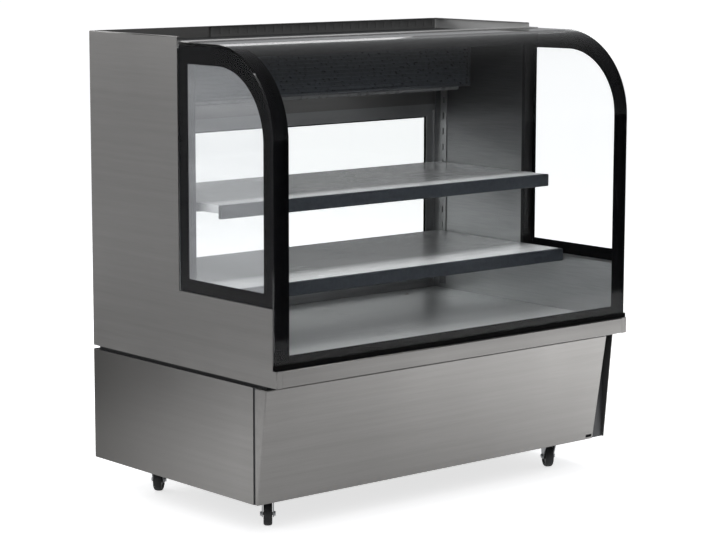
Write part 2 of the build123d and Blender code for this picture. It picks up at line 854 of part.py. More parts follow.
# Evaporator housing under the ceiling: a louvred sheet box with a fan wall inside it
housing_front = rear_liner - housing_depth
housing_low = ceiling - housing_height
housing_x = liner_x - 2.0
fan_wall_y = housing_front + 46.0
fan_z = (housing_low + ceiling) / 2
shaft_radius = 3.0
fan_places = (-fan_spread / 2, fan_spread / 2)
hub_radius = 15.0
fan_length = 20.0
with BuildPart() as housing:
    block((-housing_x, housing_front, housing_low), (housing_x, rear_liner, ceiling))
    open_faces = [
        housing.faces().sort_by(Axis.Z)[-1],
        housing.faces().filter_by(Axis.Y).sort_by(Axis.Y)[-1],
    ]
    offset(amount=-housing_wall, openings=open_faces)
    slot_length = 250.0
    with Locations((0, housing_front + housing_wall / 2, fan_z + 4)):
        for row in range(housing_slots):
            rise = (row - (housing_slots - 1) / 2) * slot_pitch
            with Locations((0, 0, rise)):
                with GridLocations(slot_length + 20, 1, 4, 1):
                    Box(slot_length, housing_wall, slot_height, mode=Mode.SUBTRACT)
    with Locations((0, rear_liner - 36, housing_low + housing_wall / 2)):
        with GridLocations(130, 1, 8, 1):
            Box(96, 34, housing_wall, mode=Mode.SUBTRACT)
    inside_x = housing_x - housing_wall
    block(
        (-inside_x, fan_wall_y, housing_low + housing_wall),
        (inside_x, fan_wall_y + housing_wall, ceiling),
    )
    for x in fan_places:
        with BuildSketch(Plane.XZ.offset(-fan_wall_y)):
            with Locations((x, fan_z)):
                Circle(fan_radius + 3)
                Circle(hub_radius, mode=Mode.SUBTRACT)
                with PolarLocations((fan_radius + hub_radius) / 2 + 1, 3, start_angle=90):
                    Rectangle(fan_radius - hub_radius + 8, 5, mode=Mode.SUBTRACT)
        extrude(amount=-housing_wall, mode=Mode.SUBTRACT)
        with BuildSketch(Plane.XZ.offset(-fan_wall_y)):
            with Locations((x, fan_z)):
                Circle(shaft_radius)
        extrude(amount=fan_length + 10)
save(housing.part, "evaporator_housing")

# Lamp along the foot of the housing's front
with BuildPart() as housing_lamp:
    with BuildSketch(Plane.YZ.offset(-housing_x + lamp_end_gap)):
        with Locations((housing_front + lamp_width / 2, housing_low - lamp_height / 2)):
            strip = Rectangle(lamp_width, lamp_height)
        chamfer(strip.vertices().group_by(Axis.Y)[0], 3)
    extrude(amount=2 * (housing_x - lamp_end_gap))
lamps.append(housing_lamp.part)
save(Compound(children=lamps), "lamps")

# Condenser fan mount: shroud, arm and motor in front of the coil
condenser_z = (pan_floor + 12.0, pan_floor + 12.0 + condenser_height)
shroud_rear = condenser_y - condenser_depth / 2 - seat_gap
shroud_front = shroud_rear - shroud_depth
fan_centre_z = sum(condenser_z) / 2
motor_radius = 28.0
motor_length = 46.0
motor_shaft = shaft_radius + 1
arm_width = 14.0
arm_gap = 12.0
with BuildPart() as shroud:
    shroud_x = condenser_width / 2 - 8
    block(
        (condenser_x - shroud_x, shroud_front, pan_floor),
        (condenser_x + shroud_x, shroud_rear, condenser_z[1]),
    )
    offset(amount=-housing_wall, openings=shroud.faces().filter_by(Axis.Y).sort_by(Axis.Y)[-1])
    with BuildSketch(Plane.XZ.offset(-shroud_front)):
        with Locations((condenser_x, fan_centre_z)):
            Circle(condenser_fan_radius + 6)
    extrude(amount=-housing_wall, mode=Mode.SUBTRACT)
    arm_y = shroud_front - arm_gap
    with BuildSketch(Plane.XZ.offset(-arm_y)):
        with Locations((condenser_x, fan_centre_z)):
            Circle(motor_radius)
            Rectangle(2 * shroud_x, arm_width)
    extrude(amount=housing_wall)
    for side in (-1, 1):
        leg = (condenser_x + side * shroud_x, condenser_x + side * (shroud_x - arm_width))
        block(
            (min(leg), arm_y, fan_centre_z - arm_width / 2),
            (max(leg), shroud_front, fan_centre_z + arm_width / 2),
        )
    with BuildSketch(Plane.XZ.offset(-arm_y + housing_wall)):
        with Locations((condenser_x, fan_centre_z)):
            Circle(motor_radius)
    extrude(amount=motor_length)
    fillet(shroud.faces().sort_by(Axis.Y)[0].edges(), 5)
    with BuildSketch(Plane.XZ.offset(-arm_y)):
        with Locations((condenser_x, fan_centre_z)):
            Circle(motor_shaft)
    extrude(amount=-(arm_gap + shroud_depth - 6))
save(shroud.part, "condenser_fan_mount")

# Two finned coils with end plates and return bends: one hung from the ceiling behind the
# evaporator fans, one standing on the chassis pan behind the louvres
evaporator_low_y = fan_wall_y + 24.0
evaporator_depth = 54.0
end_plate = 2.0
coil_plan = (
    (
        "evaporator_coil", 0.0, evaporator_low_y + evaporator_depth / 2, evaporator_depth,
        (housing_low + 14.0, ceiling - 12.0), evaporator_width, evaporator_pitch, 2, ceiling,
    ),
    (
        "condenser_coil", condenser_x, condenser_y, condenser_depth,
        condenser_z, condenser_width, condenser_pitch, 3, pan_floor,
    ),
)
for name, x, y, depth, (low_z, high_z), width, pitch, bends, fixed_z in coil_plan:
    fins_x = width / 2 - end_plate
    gaps = int(2 * fins_x // pitch)
    slot_depth = depth / 2 - tube_radius
    with BuildPart() as coil:
        block((x - fins_x, y - depth / 2, low_z), (x + fins_x, y + depth / 2, high_z))
        for front_or_back in (-1, 1):
            slot_y = y + front_or_back * (depth - slot_depth) / 2
            with Locations((x, slot_y, (low_z + high_z) / 2)):
                with GridLocations(pitch, 1, gaps, 1):
                    Box(pitch - coil_fin, slot_depth, high_z - low_z, mode=Mode.SUBTRACT)
        for side in (-1, 1):
            plate = (x + side * fins_x, x + side * width / 2)
            block(
                (min(plate), y - depth / 2, min(low_z, fixed_z)),
                (max(plate), y + depth / 2, max(high_z, fixed_z)),
            )
            bend = (high_z - low_z) / (2 * bends)
            for row in range(bends):
                bend_z = low_z + (2 * row + 1) * bend
                with BuildLine() as tube_run:
                    ThreePointArc(
                        (plate[1], y, bend_z - bend / 2),
                        (plate[1] + side * bend / 2, y, bend_z),
                        (plate[1], y, bend_z + bend / 2),
                    )
                with BuildSketch(Plane(origin=tube_run.line @ 0, z_dir=tube_run.line % 0)):
                    Circle(tube_radius)
                sweep(path=tube_run.line)
    save(coil.part, name)

# Axial fans turning about Y: a hub with five twisted blades and a running bore
blades = 5
blade_sheet = 1.6
evaporator_fan_y = fan_wall_y - fan_length - 4.0
fan_plan = (
    (
        "evaporator_fan_left", fan_places[0], evaporator_fan_y, fan_z,
        fan_radius, hub_radius, fan_length, shaft_radius,
    ),
    (
        "evaporator_fan_right", fan_places[1], evaporator_fan_y, fan_z,
        fan_radius, hub_radius, fan_length, shaft_radius,
    ),
    (
        "condenser_fan", condenser_x, shroud_front + 3.0, fan_centre_z,
        condenser_fan_radius, hub_radius + 9, fan_length + 2, motor_shaft,
    ),
)
for name, x, y, z, radius, hub, length, shaft in fan_plan:
    with BuildPart() as fan:
        with BuildSketch(Plane.XZ.offset(-y)):
            with Locations((x, z)):
                Circle(hub)
        extrude(amount=-length)
        for blade in range(blades):
            turn = radians(360 * blade / blades + 18)
            out = (cos(turn), 0, sin(turn))
            across = (-sin(turn), 0, cos(turn))
            for reach, chord, twist in ((hub - 3, 0.9 * length, 42), (radius, 1.2 * length, 24)):
                root = (x + out[0] * reach, y + length / 2, z + out[2] * reach)
                with BuildSketch(Plane(origin=root, x_dir=across, z_dir=out)):
                    Rectangle(chord, blade_sheet, rotation=twist)
            loft()
        with BuildSketch(Plane.XZ.offset(-y)):
            with Locations((x, z)):
                Circle(shaft + running_gap)
        extrude(amount=-length, mode=Mode.SUBTRACT)
    save(fan.part, name)

# Hermetic compressor: domed shell with its weld flange, on a foot plate and four rubber feet
foot_height = 16.0
shell_low = pan_floor + foot_height + 4.0
shell_high = shell_low + compressor_height
shell_middle = (shell_low + shell_high) / 2
dome = 46.0
with BuildPart() as compressor:
    with BuildSketch(Plane.XZ.offset(-compressor_y)):
        with BuildLine():
            axis_x = compressor_x
            side_x = compressor_x + compressor_radius
            Line((axis_x, shell_low), (side_x - dome, shell_low))
            RadiusArc((side_x - dome, shell_low), (side_x, shell_low + dome), -dome)
            Polyline(
                (side_x, shell_low + dome),
                (side_x, shell_middle - 3),
                (side_x + 7, shell_middle - 3),
                (side_x + 7, shell_middle + 3),
                (side_x, shell_middle + 3),
                (side_x, shell_high - dome),
            )
            RadiusArc((side_x, shell_high - dome), (side_x - dome, shell_high), -dome)
            Line((side_x - dome, shell_high), (axis_x, shell_high))
            Line((axis_x, shell_high), (axis_x, shell_low))
        make_face()
    revolve(axis=Axis((compressor_x, compressor_y, 0), (0, 0, 1)))
    foot_x, foot_y = 92.0, 62.0
    block(
        (compressor_x - foot_x, compressor_y - foot_y, shell_low - 4),
        (compressor_x + foot_x, compressor_y + foot_y, shell_low),
    )
    with Locations((compressor_x, compressor_y, pan_floor + foot_height / 2)):
        with GridLocations(2 * foot_x - 30, 2 * foot_y - 30, 2, 2):
            Cylinder(9, foot_height)
    block(
        (compressor_x + compressor_radius - 10, compressor_y - 24, shell_middle - 40),
        (compressor_x + compressor_radius + 26, compressor_y + 24, shell_middle + 30),
    )
save(compressor.part, "compressor")

# Pipework: discharge, suction and liquid lines, the receiver-drier, and the floor drain
drier_x = condenser_x + condenser_width / 2 + 70.0
drier_y = condenser_y - 96.0
drier_radius = 20.0
drier_height = 120.0
liquid_radius = 3.0
line_z = base_top - 53.0
outlet_x = condenser_x + condenser_width / 2
wall_entry_x = liner_x - 42.0
pan_spout_x = 160.0
pan_spout_y = -60.0
pan_spout_z = base_bottom + 55.0
pipe_plan = (
    (tube_radius, 0, (
        (compressor_x - 30, compressor_y, shell_high),
        (compressor_x - 30, compressor_y, condenser_z[1] - 5),
        (compressor_x - 30, condenser_y, condenser_z[1] - 5),
        (outlet_x, condenser_y, condenser_z[1] - 5),
    )),
    (tube_radius, 0, (
        (compressor_x + 30, compressor_y, shell_high),
        (compressor_x + 30, compressor_y, line_z),
        (wall_entry_x, compressor_y, line_z),
        (wall_entry_x, compressor_y, seam),
    )),
    (liquid_radius, 0, (
        (outlet_x, condenser_y, condenser_z[0] + 9),
        (outlet_x + 30, condenser_y, condenser_z[0] + 9),
        (outlet_x + 30, condenser_y, pan_floor + drier_height + 24),
        (drier_x - 8, drier_y, pan_floor + drier_height + 24),
        (drier_x - 8, drier_y, pan_floor + drier_height),
    )),
    (liquid_radius, 0, (
        (drier_x + 8, drier_y, pan_floor + drier_height),
        (drier_x + 8, drier_y, line_z + 20),
        (wall_entry_x, drier_y, line_z + 20),
        (wall_entry_x, drier_y, seam),
    )),
    (drain_radius, drain_bore, (
        (drain_x, drain_y, floor_top),
        (drain_x, drain_y, line_z + 8),
        (drain_x, pan_spout_y, line_z + 8),
        (pan_spout_x, pan_spout_y, line_z + 8),
        (pan_spout_x, pan_spout_y, pan_spout_z),
    )),
)
pipes = []
for radius, bore, places in pipe_plan:
    with BuildPart() as pipe:
        with BuildLine() as route:
            FilletPolyline(*places, radius=14)
        with BuildSketch(Plane(origin=route.line @ 0, z_dir=route.line % 0)):
            Circle(radius)
            if bore:
                Circle(bore, mode=Mode.SUBTRACT)
        sweep(path=route.line)
    pipes.append(pipe.part)
with BuildPart() as drier:
    with Locations((drier_x, drier_y, pan_floor + drier_height / 2)):
        Cylinder(drier_radius, drier_height)
    fillet(drier.edges().filter_by(GeomType.CIRCLE), 6)
pipes.append(drier.part)
save(Compound(children=pipes), "pipework")

# Evaporation pan for the drain water, standing in the chassis under the spout
water_pan_low = (-400.0, -240.0, pan_floor)
water_pan_high = (200.0, -20.0, pan_floor + 42.0)
with BuildPart() as water_pan:
    block(water_pan_low, water_pan_high)
    fillet(water_pan.edges().filter_by(Axis.Z), 12)
    offset(amount=-pan_wall, openings=water_pan.faces().sort_by(Axis.Z)[-1])
save(water_pan.part, "evaporation_pan")

# Operator's unit in the control panel: bezel, display, three buttons and a lamp rocker
unit_face = rear_sheet_y + skin
bezel_thickness = 3.0
unit_depth = 58.0
button_radius = 5.0
button_travel = 1.0
button_proud = 1.5
button_length = 7.0
button_floor_gap = 0.5
button_pocket = button_length - button_proud + button_travel + button_floor_gap
button_pitch = 18.0
button_x = control_x + 8.0
rocker_x = control_x - 68.0
rocker_width = 14.0
rocker_height = 22.0
rocker_depth = 12.0
rocker_shaft = 1.5
rocker_y = unit_face + bezel_thickness - 4.5
display_x = control_x + 62.0
display_width = 58.0
display_height = 22.0
button_names = ("up", "set", "down")
with BuildPart() as unit:
    block(
        (control_x - unit_width / 2 - unit_lip, unit_face, control_z - unit_height / 2 - unit_lip),
        (
            control_x + unit_width / 2 + unit_lip,
            unit_face + bezel_thickness,
            control_z + unit_height / 2 + unit_lip,
        ),
    )
    fillet(unit.edges().filter_by(Axis.Y), 3)
    block(
        (
            control_x - unit_width / 2 + seat_gap,
            unit_face - unit_depth,
            control_z - unit_height / 2 + seat_gap,
        ),
        (control_x + unit_width / 2 - seat_gap, unit_face, control_z + unit_height / 2 - seat_gap),
    )
    front = unit_face + bezel_thickness
    with Locations((display_x, front - 0.5, control_z)):
        Box(display_width, 1, display_height, mode=Mode.SUBTRACT)
    for index in range(len(button_names)):
        x = button_x + (index - 1) * button_pitch
        with Locations((x, front - button_pocket / 2, control_z)):
            Cylinder(
                button_radius + running_gap, button_pocket, rotation=(90, 0, 0), mode=Mode.SUBTRACT
            )
    with Locations((rocker_x, front - rocker_depth / 2, control_z)):
        Box(rocker_width, rocker_depth, rocker_height, mode=Mode.SUBTRACT)
    with Locations((rocker_x, rocker_y, control_z)):
        Cylinder(rocker_shaft, rocker_width, rotation=(0, 90, 0))
save(unit.part, "control_unit")

for index, name in enumerate(button_names):
    x = button_x + (index - 1) * button_pitch
    with BuildPart() as button:
        with Locations((x, front + button_proud - button_length / 2, control_z)):
            Cylinder(button_radius, button_length, rotation=(90, 0, 0))
        fillet(button.faces().sort_by(Axis.Y)[-1].edges(), 0.8)
    save(button.part, "button_" + name)

with BuildPart() as rocker:
    half = rocker_width / 2 - seat_gap
    reach = rocker_height / 2 - 1.4
    with BuildSketch(Plane.YZ.offset(rocker_x - half)):
        Polygon(
            (rocker_y - 3, control_z - 4),
            (rocker_y + 4, control_z - reach),
            (rocker_y + 6.4, control_z - reach),
            (rocker_y + 5.2, control_z),
            (rocker_y + 6.4, control_z + reach),
            (rocker_y + 4, control_z + reach),
            (rocker_y - 3, control_z + 4),
            align=None,
        )
        with Locations((rocker_y, control_z)):
            Circle(rocker_shaft + running_gap, mode=Mode.SUBTRACT)
    extrude(amount=2 * half)
save(rocker.part, "lamp_rocker")

# Power inlet: a flanged plug socket with three pins
inlet_depth = 24.0
inlet_lip = 4.0
mouth_width = 27.0
mouth_height = 19.0
with BuildPart() as inlet:
    half_w, half_h = inlet_width / 2, inlet_height / 2
    block(
        (inlet_x - half_w - inlet_lip, unit_face, inlet_z - half_h - inlet_lip),
        (inlet_x + half_w + inlet_lip, unit_face + bezel_thickness, inlet_z + half_h + inlet_lip),
    )
    fillet(inlet.edges().filter_by(Axis.Y), 4)
    block(
        (inlet_x - half_w + seat_gap, unit_face - inlet_depth, inlet_z - half_h + seat_gap),
        (inlet_x + half_w - seat_gap, unit_face, inlet_z + half_h - seat_gap),
    )
    mouth_depth = inlet_depth - 6
    with Locations((inlet_x, front - mouth_depth / 2, inlet_z)):
        Box(mouth_width, mouth_depth, mouth_height, mode=Mode.SUBTRACT)
    for x, z in ((-7, -3), (7, -3), (0, 3)):
        with Locations((inlet_x + x, front - mouth_depth / 2 - 2, inlet_z + z)):
            Box(2, mouth_depth - 4, 4.5)
save(inlet.part, "power_inlet")

# Castor plates: a square plate with a boss and a headed kingpin under each corner
plate_thickness = 3.0
boss_radius = 19.0
boss_height = 5.0
crown_radius = 23.0
crown_thickness = 4.2
crown_top = base_bottom - plate_thickness - boss_height - seat_gap
crown_low = crown_top - crown_thickness
kingpin_head = 9.0
kingpin_head_height = 3.0
bolt_offset = castor_plate / 2 - 8.0
bolt_radius = 4.5
bolt_height = 2.6
castor_plan = (
    ("front_left", -castor_x, castor_front_y, 38.0, True),
    ("front_right", castor_x, castor_front_y, 30.0, True),
    ("rear_left", -castor_x, castor_rear_y, 48.0, False),
    ("rear_right", castor_x, castor_rear_y, 20.0, False),
)
plates, bolts = [], []
for name, x, y, heading, braked in castor_plan:
    with BuildPart() as castor_plate_part:
        with Locations((x, y, base_bottom - plate_thickness / 2)):
            Box(castor_plate, castor_plate, plate_thickness)
        fillet(castor_plate_part.edges().filter_by(Axis.Z), 6)
        boss_low = base_bottom - plate_thickness - boss_height
        with Locations((x, y, boss_low + boss_height / 2)):
            Cylinder(boss_radius, boss_height)
        pin_low = crown_low - seat_gap
        with Locations((x, y, (pin_low + boss_low) / 2)):
            Cylinder(kingpin_radius, boss_low - pin_low)
        with Locations((x, y, pin_low - kingpin_head_height / 2)):
            Cylinder(kingpin_head, kingpin_head_height)
    plates.append(castor_plate_part.part)
    with BuildPart() as castor_bolts:
        with Locations((x, y, base_bottom - plate_thickness - bolt_height / 2)):
            with GridLocations(2 * bolt_offset, 2 * bolt_offset, 2, 2):
                Cylinder(bolt_radius, bolt_height)
    bolts.append(castor_bolts.part)
save(Compound(children=plates), "castor_plates")

# Swivel castors: forks that trail behind the kingpin, wheels on fixed axles, two foot brakes
leg_inner = wheel_width / 2 + 1.5
leg_outer = leg_inner + 2.5
axle_end = leg_outer + 2.0
leg_tip = 9.0
pedal_pivot_u = castor_trail + 12.0
pedal_pivot_z = wheel_radius + 36.0
pedal_shaft = 2.0
pedal_barrel = 4.0
pedal_half = leg_inner - 1.0
tyre_round = 5.0
hub_face = 15.0
hub_recess = 3.0
for name, x, y, heading, braked in castor_plan:
    turn = radians(heading)
    trail_way = (sin(turn), cos(turn), 0)
    axle_way = (cos(turn), -sin(turn), 0)
    upright = Plane(origin=(x, y, 0), x_dir=trail_way, z_dir=axle_way)
    axle_z = wheel_radius
    with BuildPart() as fork:
        with Locations((x, y, crown_low + crown_thickness / 2)):
            Cylinder(crown_radius, crown_thickness)
        for face in (leg_inner, -leg_outer):
            with BuildSketch(upright.offset(face)):
                Polygon(
                    (-15, crown_top),
                    (crown_radius - 6, crown_top),
                    (pedal_pivot_u + 5, pedal_pivot_z + 4),
                    (pedal_pivot_u + 4, pedal_pivot_z - 6),
                    (castor_trail + leg_tip, axle_z),
                    (castor_trail - leg_tip, axle_z),
                    (-15, crown_low - 10),
                    align=None,
                )
                with Locations((castor_trail, axle_z)):
                    Circle(leg_tip)
            extrude(amount=leg_outer - leg_inner)
        with BuildSketch(upright.offset(-axle_end)):
            with Locations((castor_trail, axle_z)):
                Circle(axle_radius)
        extrude(amount=2 * axle_end)
        if braked:
            with BuildSketch(upright.offset(-leg_outer)):
                with Locations((pedal_pivot_u, pedal_pivot_z)):
                    Circle(pedal_shaft)
            extrude(amount=2 * leg_outer)
        with Locations((x, y, crown_low + crown_thickness / 2)):
            Cylinder(kingpin_radius + running_gap, crown_thickness, mode=Mode.SUBTRACT)
    save(fork.part, "castor_fork_" + name)

    with BuildPart() as wheel:
        with BuildSketch(upright.offset(-wheel_width / 2)):
            with Locations((castor_trail, axle_z)):
                Circle(wheel_radius)
        extrude(amount=wheel_width)
        fillet(wheel.edges(), tyre_round)
        for face, way in ((-wheel_width / 2, 1), (wheel_width / 2, -1)):
            with BuildSketch(upright.offset(face)):
                with Locations((castor_trail, axle_z)):
                    Circle(wheel_radius - tyre_round - 3)
                    Circle(hub_face / 2 + 1, mode=Mode.SUBTRACT)
            extrude(amount=way * hub_recess, mode=Mode.SUBTRACT)
        with BuildSketch(upright.offset(-wheel_width / 2)):
            with Locations((castor_trail, axle_z)):
                Circle(axle_radius + running_gap)
        extrude(amount=wheel_width, mode=Mode.SUBTRACT)
    save(wheel.part, "castor_wheel_" + name)

    if braked:
        u, z = pedal_pivot_u, pedal_pivot_z
        with BuildPart() as pedal:
            with BuildSketch(upright.offset(-pedal_half)):
                Polygon(
                    (u - 3, z + 2),
                    (u + 2, z + 4),
                    (u + 30, z + 1),
                    (u + 30, z - 2),
                    (u + 14, z - 1),
                    (u + 11.5, z - 11.5),
                    (u + 8.5, z - 9.5),
                    (u + 6, z - 2),
                    (u, z - 3.6),
                    align=None,
                )
                with Locations((u, z)):
                    Circle(pedal_barrel)
                    Circle(pedal_shaft + running_gap, mode=Mode.SUBTRACT)
            extrude(amount=2 * pedal_half)
        save(pedal.part, "brake_pedal_" + name)

# Screws: the castor bolts above, the rear panels' pan heads and the rail's round heads
head_radius = 4.0
head_height = 1.8
shank_radius = 2.0
for side in (-1, 1):
    for z in screw_levels:
        with BuildPart() as panel_screw:
            with Locations((side * screw_x, unit_face + head_height / 2, z)):
                Cylinder(head_radius, head_height, rotation=(90, 0, 0))
            shank = unit_face - chassis_rear + post_wall
            with Locations((side * screw_x, unit_face - shank / 2, z)):
                Cylinder(shank_radius, shank, rotation=(90, 0, 0))
        bolts.append(panel_screw.part)
save(Compound(children=bolts), "screws")
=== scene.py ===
import math

import bmesh
import bpy
from mathutils import Matrix, Vector


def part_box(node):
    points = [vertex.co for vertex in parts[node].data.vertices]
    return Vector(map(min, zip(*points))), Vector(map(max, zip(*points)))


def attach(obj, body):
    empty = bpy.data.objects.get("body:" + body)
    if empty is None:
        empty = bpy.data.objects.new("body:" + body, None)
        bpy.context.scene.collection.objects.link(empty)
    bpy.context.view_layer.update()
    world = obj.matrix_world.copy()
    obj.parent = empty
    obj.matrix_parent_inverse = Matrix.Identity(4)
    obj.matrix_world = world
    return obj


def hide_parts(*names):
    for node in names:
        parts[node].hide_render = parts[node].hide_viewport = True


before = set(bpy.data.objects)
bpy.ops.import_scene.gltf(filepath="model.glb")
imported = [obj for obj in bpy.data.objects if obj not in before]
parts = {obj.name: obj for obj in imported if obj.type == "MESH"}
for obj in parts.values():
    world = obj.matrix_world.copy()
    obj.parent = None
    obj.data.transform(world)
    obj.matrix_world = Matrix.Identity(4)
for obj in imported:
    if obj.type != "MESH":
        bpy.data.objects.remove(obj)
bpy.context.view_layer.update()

scene = bpy.context.scene
scene.view_settings.view_transform = "Standard"

# Camera: a long lens at the photograph's place, left of the case's front and a little
# above its top, looking slightly down.


def placed_object(name, data):
    """A new object in the scene that shows the data."""
    new_object = bpy.data.objects.new(name, data)
    scene.collection.objects.link(new_object)
    return new_object


camera = placed_object("studio_camera", bpy.data.cameras.new("studio_camera"))
camera.data.sensor_width = 36.0
camera.data.lens = 118.66
camera.data.clip_end = 100.0
heading, tilt, roll = (math.radians(a) for a in (40.46, 8.61, 0.10))
forward = Vector((math.sin(heading) * math.cos(tilt), math.cos(heading) * math.cos(tilt), -math.sin(tilt)))
level_right = Vector((math.cos(heading), -math.sin(heading), 0.0))
level_up = level_right.cross(forward)
right = level_right * math.cos(roll) + level_up * math.sin(roll)
up = level_up * math.cos(roll) - level_right * math.sin(roll)
turn = Matrix((right, up, -forward)).transposed().to_4x4()
camera.matrix_world = Matrix.Translation((-4.0010, -4.6659, 1.5013)) @ turn
scene.camera = camera

# Surround: a white studio at eye level under a darker ceiling. Looked at straight or through
# glass it is plain white; polished steel sees the white low down and the dark ceiling above.


def feed(tree, node, inputs):
    """Gives a node's inputs fixed values or other nodes' outputs, and gives the node back."""
    for socket, value in inputs.items():
        if isinstance(value, bpy.types.NodeSocket):
            tree.links.new(value, node.inputs[socket])
        else:
            node.inputs[socket].default_value = value
    return node


def from_node(tree, kind, inputs, output=0, operation=None, data_type=None):
    """One output of a new node with its inputs fed."""
    node = tree.nodes.new(kind)
    if operation:
        node.operation = operation
    if data_type:
        node.data_type = data_type
    return feed(tree, node, inputs).outputs[output]


def maths(tree, operation, *values):
    """The result of one sum on fixed numbers and other nodes' outputs."""
    return from_node(tree, "ShaderNodeMath", dict(enumerate(values)), 0, operation)


def spread_over(tree, fac, low, high, begin=0.3, end=0.7, run="LINEAR"):
    """A value that runs from low to high as another one runs from begin to end."""
    ranger = tree.nodes.new("ShaderNodeMapRange")
    ranger.interpolation_type = run
    feed(tree, ranger, {"Value": fac, "From Min": begin, "From Max": end, "To Min": low, "To Max": high})
    return ranger.outputs["Result"]


def ways_of_looking(tree):
    """1 where the camera looks straight or through glass, and 1 where it looks into steel."""
    path = tree.nodes.new("ShaderNodeLightPath").outputs
    bounced = maths(tree, "ADD", path["Diffuse Depth"], path["Glossy Depth"])
    looked = maths(tree, "MAXIMUM", path["Is Camera Ray"], path["Is Transmission Ray"])
    straight = maths(tree, "MULTIPLY", maths(tree, "LESS_THAN", bounced, 0.5), looked)
    mirrored = maths(tree, "SUBTRACT", path["Glossy Depth"], path["Diffuse Depth"])
    return straight, maths(tree, "GREATER_THAN", mirrored, 0.5)


surround = bpy.data.worlds.new("studio_surround")
scene.world = surround
surround.use_nodes = True
sky = surround.node_tree
sky.nodes.clear()
sky_place = sky.nodes.new("ShaderNodeTexCoord").outputs["Generated"]
sky_height = from_node(sky, "ShaderNodeSeparateXYZ", {0: sky_place}, "Z")
soft_fill, white_show, ceiling_show = (
    from_node(sky, "ShaderNodeBackground", {"Color": colour, "Strength": strength})
    for colour, strength in (
        ((0.94, 0.96, 1.0, 1.0), 0.42),
        ((1.0, 1.0, 1.0, 1.0), 1.0),
        ((0.97, 0.98, 1.0, 1.0), spread_over(sky, sky_height, 0.5, 0.24, 0.0, 0.10)),
    )
)
seen_straight, seen_in_steel = ways_of_looking(sky)
by_steel = from_node(sky, "ShaderNodeMixShader", {0: seen_in_steel, 1: soft_fill, 2: ceiling_show})
by_eye = from_node(sky, "ShaderNodeMixShader", {0: seen_straight, 1: by_steel, 2: white_show})
feed(sky, sky.nodes.new("ShaderNodeOutputWorld"), {"Surface": by_eye})

# Floor: pale and matt. It shows white to the camera and through glass, and keeps the soft
# shadow under the case. For steel alone it carries painted reflections: glowing patches of
# painted light, and dark pools of painted shade.
floor_mesh = bpy.data.meshes.new("studio_floor")
reach = 40.0


def oblong(x0, y0, x1, y1):
    """A rectangle's four corners, in turn."""
    return (x0, y0), (x1, y0), (x1, y1), (x0, y1)


floor_corners = [(x, y, 0) for x, y in oblong(-reach, -reach, reach, reach)]
floor_mesh.from_pydata(floor_corners, [], [(0, 1, 2, 3)])
floor = placed_object("studio_floor", floor_mesh)
floor_finish = bpy.data.materials.new("floor_finish")
floor_finish.use_nodes = True
ground = floor_finish.node_tree
ground.nodes.clear()
floor_straight, floor_in_steel = ways_of_looking(ground)
floor_place = ground.nodes.new("ShaderNodeTexCoord").outputs["Object"]


def floor_patch(centre, inner, outer, at_centre, outside):
    """A soft round patch of the floor, from its value at the centre to the one outside."""
    away = from_node(ground, "ShaderNodeVectorMath", {0: floor_place, 1: centre}, "Value", "DISTANCE")
    return spread_over(ground, away, at_centre, outside, inner, outer, "SMOOTHSTEP")


def mixed_colour(tree, factor, first, second):
    """A colour between two others."""
    return from_node(tree, "ShaderNodeMix", {0: factor, 6: first, 7: second}, 2, data_type="RGBA")


# Painted shade pools and glowing patches of painted light, seen only in the steel.
left_shade_pool = ((-1.8, 1.9, 0.0), 0.35, 1.1)
front_shade_pool = ((1.9, -42.6, 0.0), 40.04, 40.14)
painted_glow = floor_patch(*left_shade_pool, 0.0, 0.32)
for glow_patch in (
    ((2.7, -1.4, 0.0), 0.3, 2.6, 1.05),
    ((1.6, -1.15, 0.0), 0.2, 1.9, 1.2),
    ((-1.15, 0.35, 0.0), 0.2, 0.9, 0.3),
):
    painted_glow = maths(ground, "ADD", painted_glow, floor_patch(*glow_patch, 0.0))
painted_glow = maths(ground, "MULTIPLY", painted_glow, floor_patch(*front_shade_pool, 0.12, 1.0))
shade_pools = maths(ground, "MAXIMUM", floor_patch(*left_shade_pool, 1.0, 0.0), floor_patch(*front_shade_pool, 1.0, 0.0))
dim = maths(ground, "MULTIPLY", shade_pools, floor_in_steel)
pale_or_dim = mixed_colour(ground, dim, (0.80, 0.80, 0.80, 1.0), (0.06, 0.06, 0.06, 1.0))
pale = from_node(ground, "ShaderNodeBsdfDiffuse", {"Color": pale_or_dim})
straight_glow = maths(ground, "MULTIPLY", floor_straight, 0.72)
glow_strength = maths(ground, "MULTIPLY_ADD", floor_in_steel, painted_glow, straight_glow)
glow = from_node(ground, "ShaderNodeEmission", {"Strength": glow_strength})
lit_floor = from_node(ground, "ShaderNodeAddShader", {0: pale, 1: glow})
feed(ground, ground.nodes.new("ShaderNodeOutputMaterial"), {"Surface": lit_floor})
floor_mesh.materials.append(floor_finish)

# Studio lamps: soft boxes at the front left, the left, above, behind and at the rear right.
# They are wide and stand well away, so that the light is even and the shadow soft.
for lamp_name, place, aim, size, watts in (
    ("key_softbox", (-3.2, -3.6, 3.4), (0.0, 0.0, 0.7), (2.4, 2.4), 80.0),
    ("left_softbox", (-3.4, 3.4, 1.9), (-0.6, 0.0, 0.6), (1.8, 0.9), 20.0),
    ("top_softbox", (0.0, -0.2, 4.2), (0.0, 0.0, 0.6), (3.0, 2.4), 60.0),
    ("rear_softbox", (0.0, 4.2, 2.6), (0.0, 0.0, 0.7), (2.6, 2.0), 50.0),
    ("rear_right_softbox", (2.9, 4.1, 2.25), (0.0, 0.0, 1.1), (1.5, 0.7), 2.5),
):
    light = bpy.data.lights.new(lamp_name, "AREA")
    light.shape = "RECTANGLE"
    light.size, light.size_y = size
    light.energy = watts
    lamp = placed_object(lamp_name, light)
    lamp.location = place
    lamp.rotation_euler = (Vector(aim) - Vector(place)).to_track_quat("-Z", "Y").to_euler()

# Chassis: a welded steel pan with angle posts and a top ring, sprayed dark grey. It carries
# everything else, and shows underneath and at the open right end of the base.


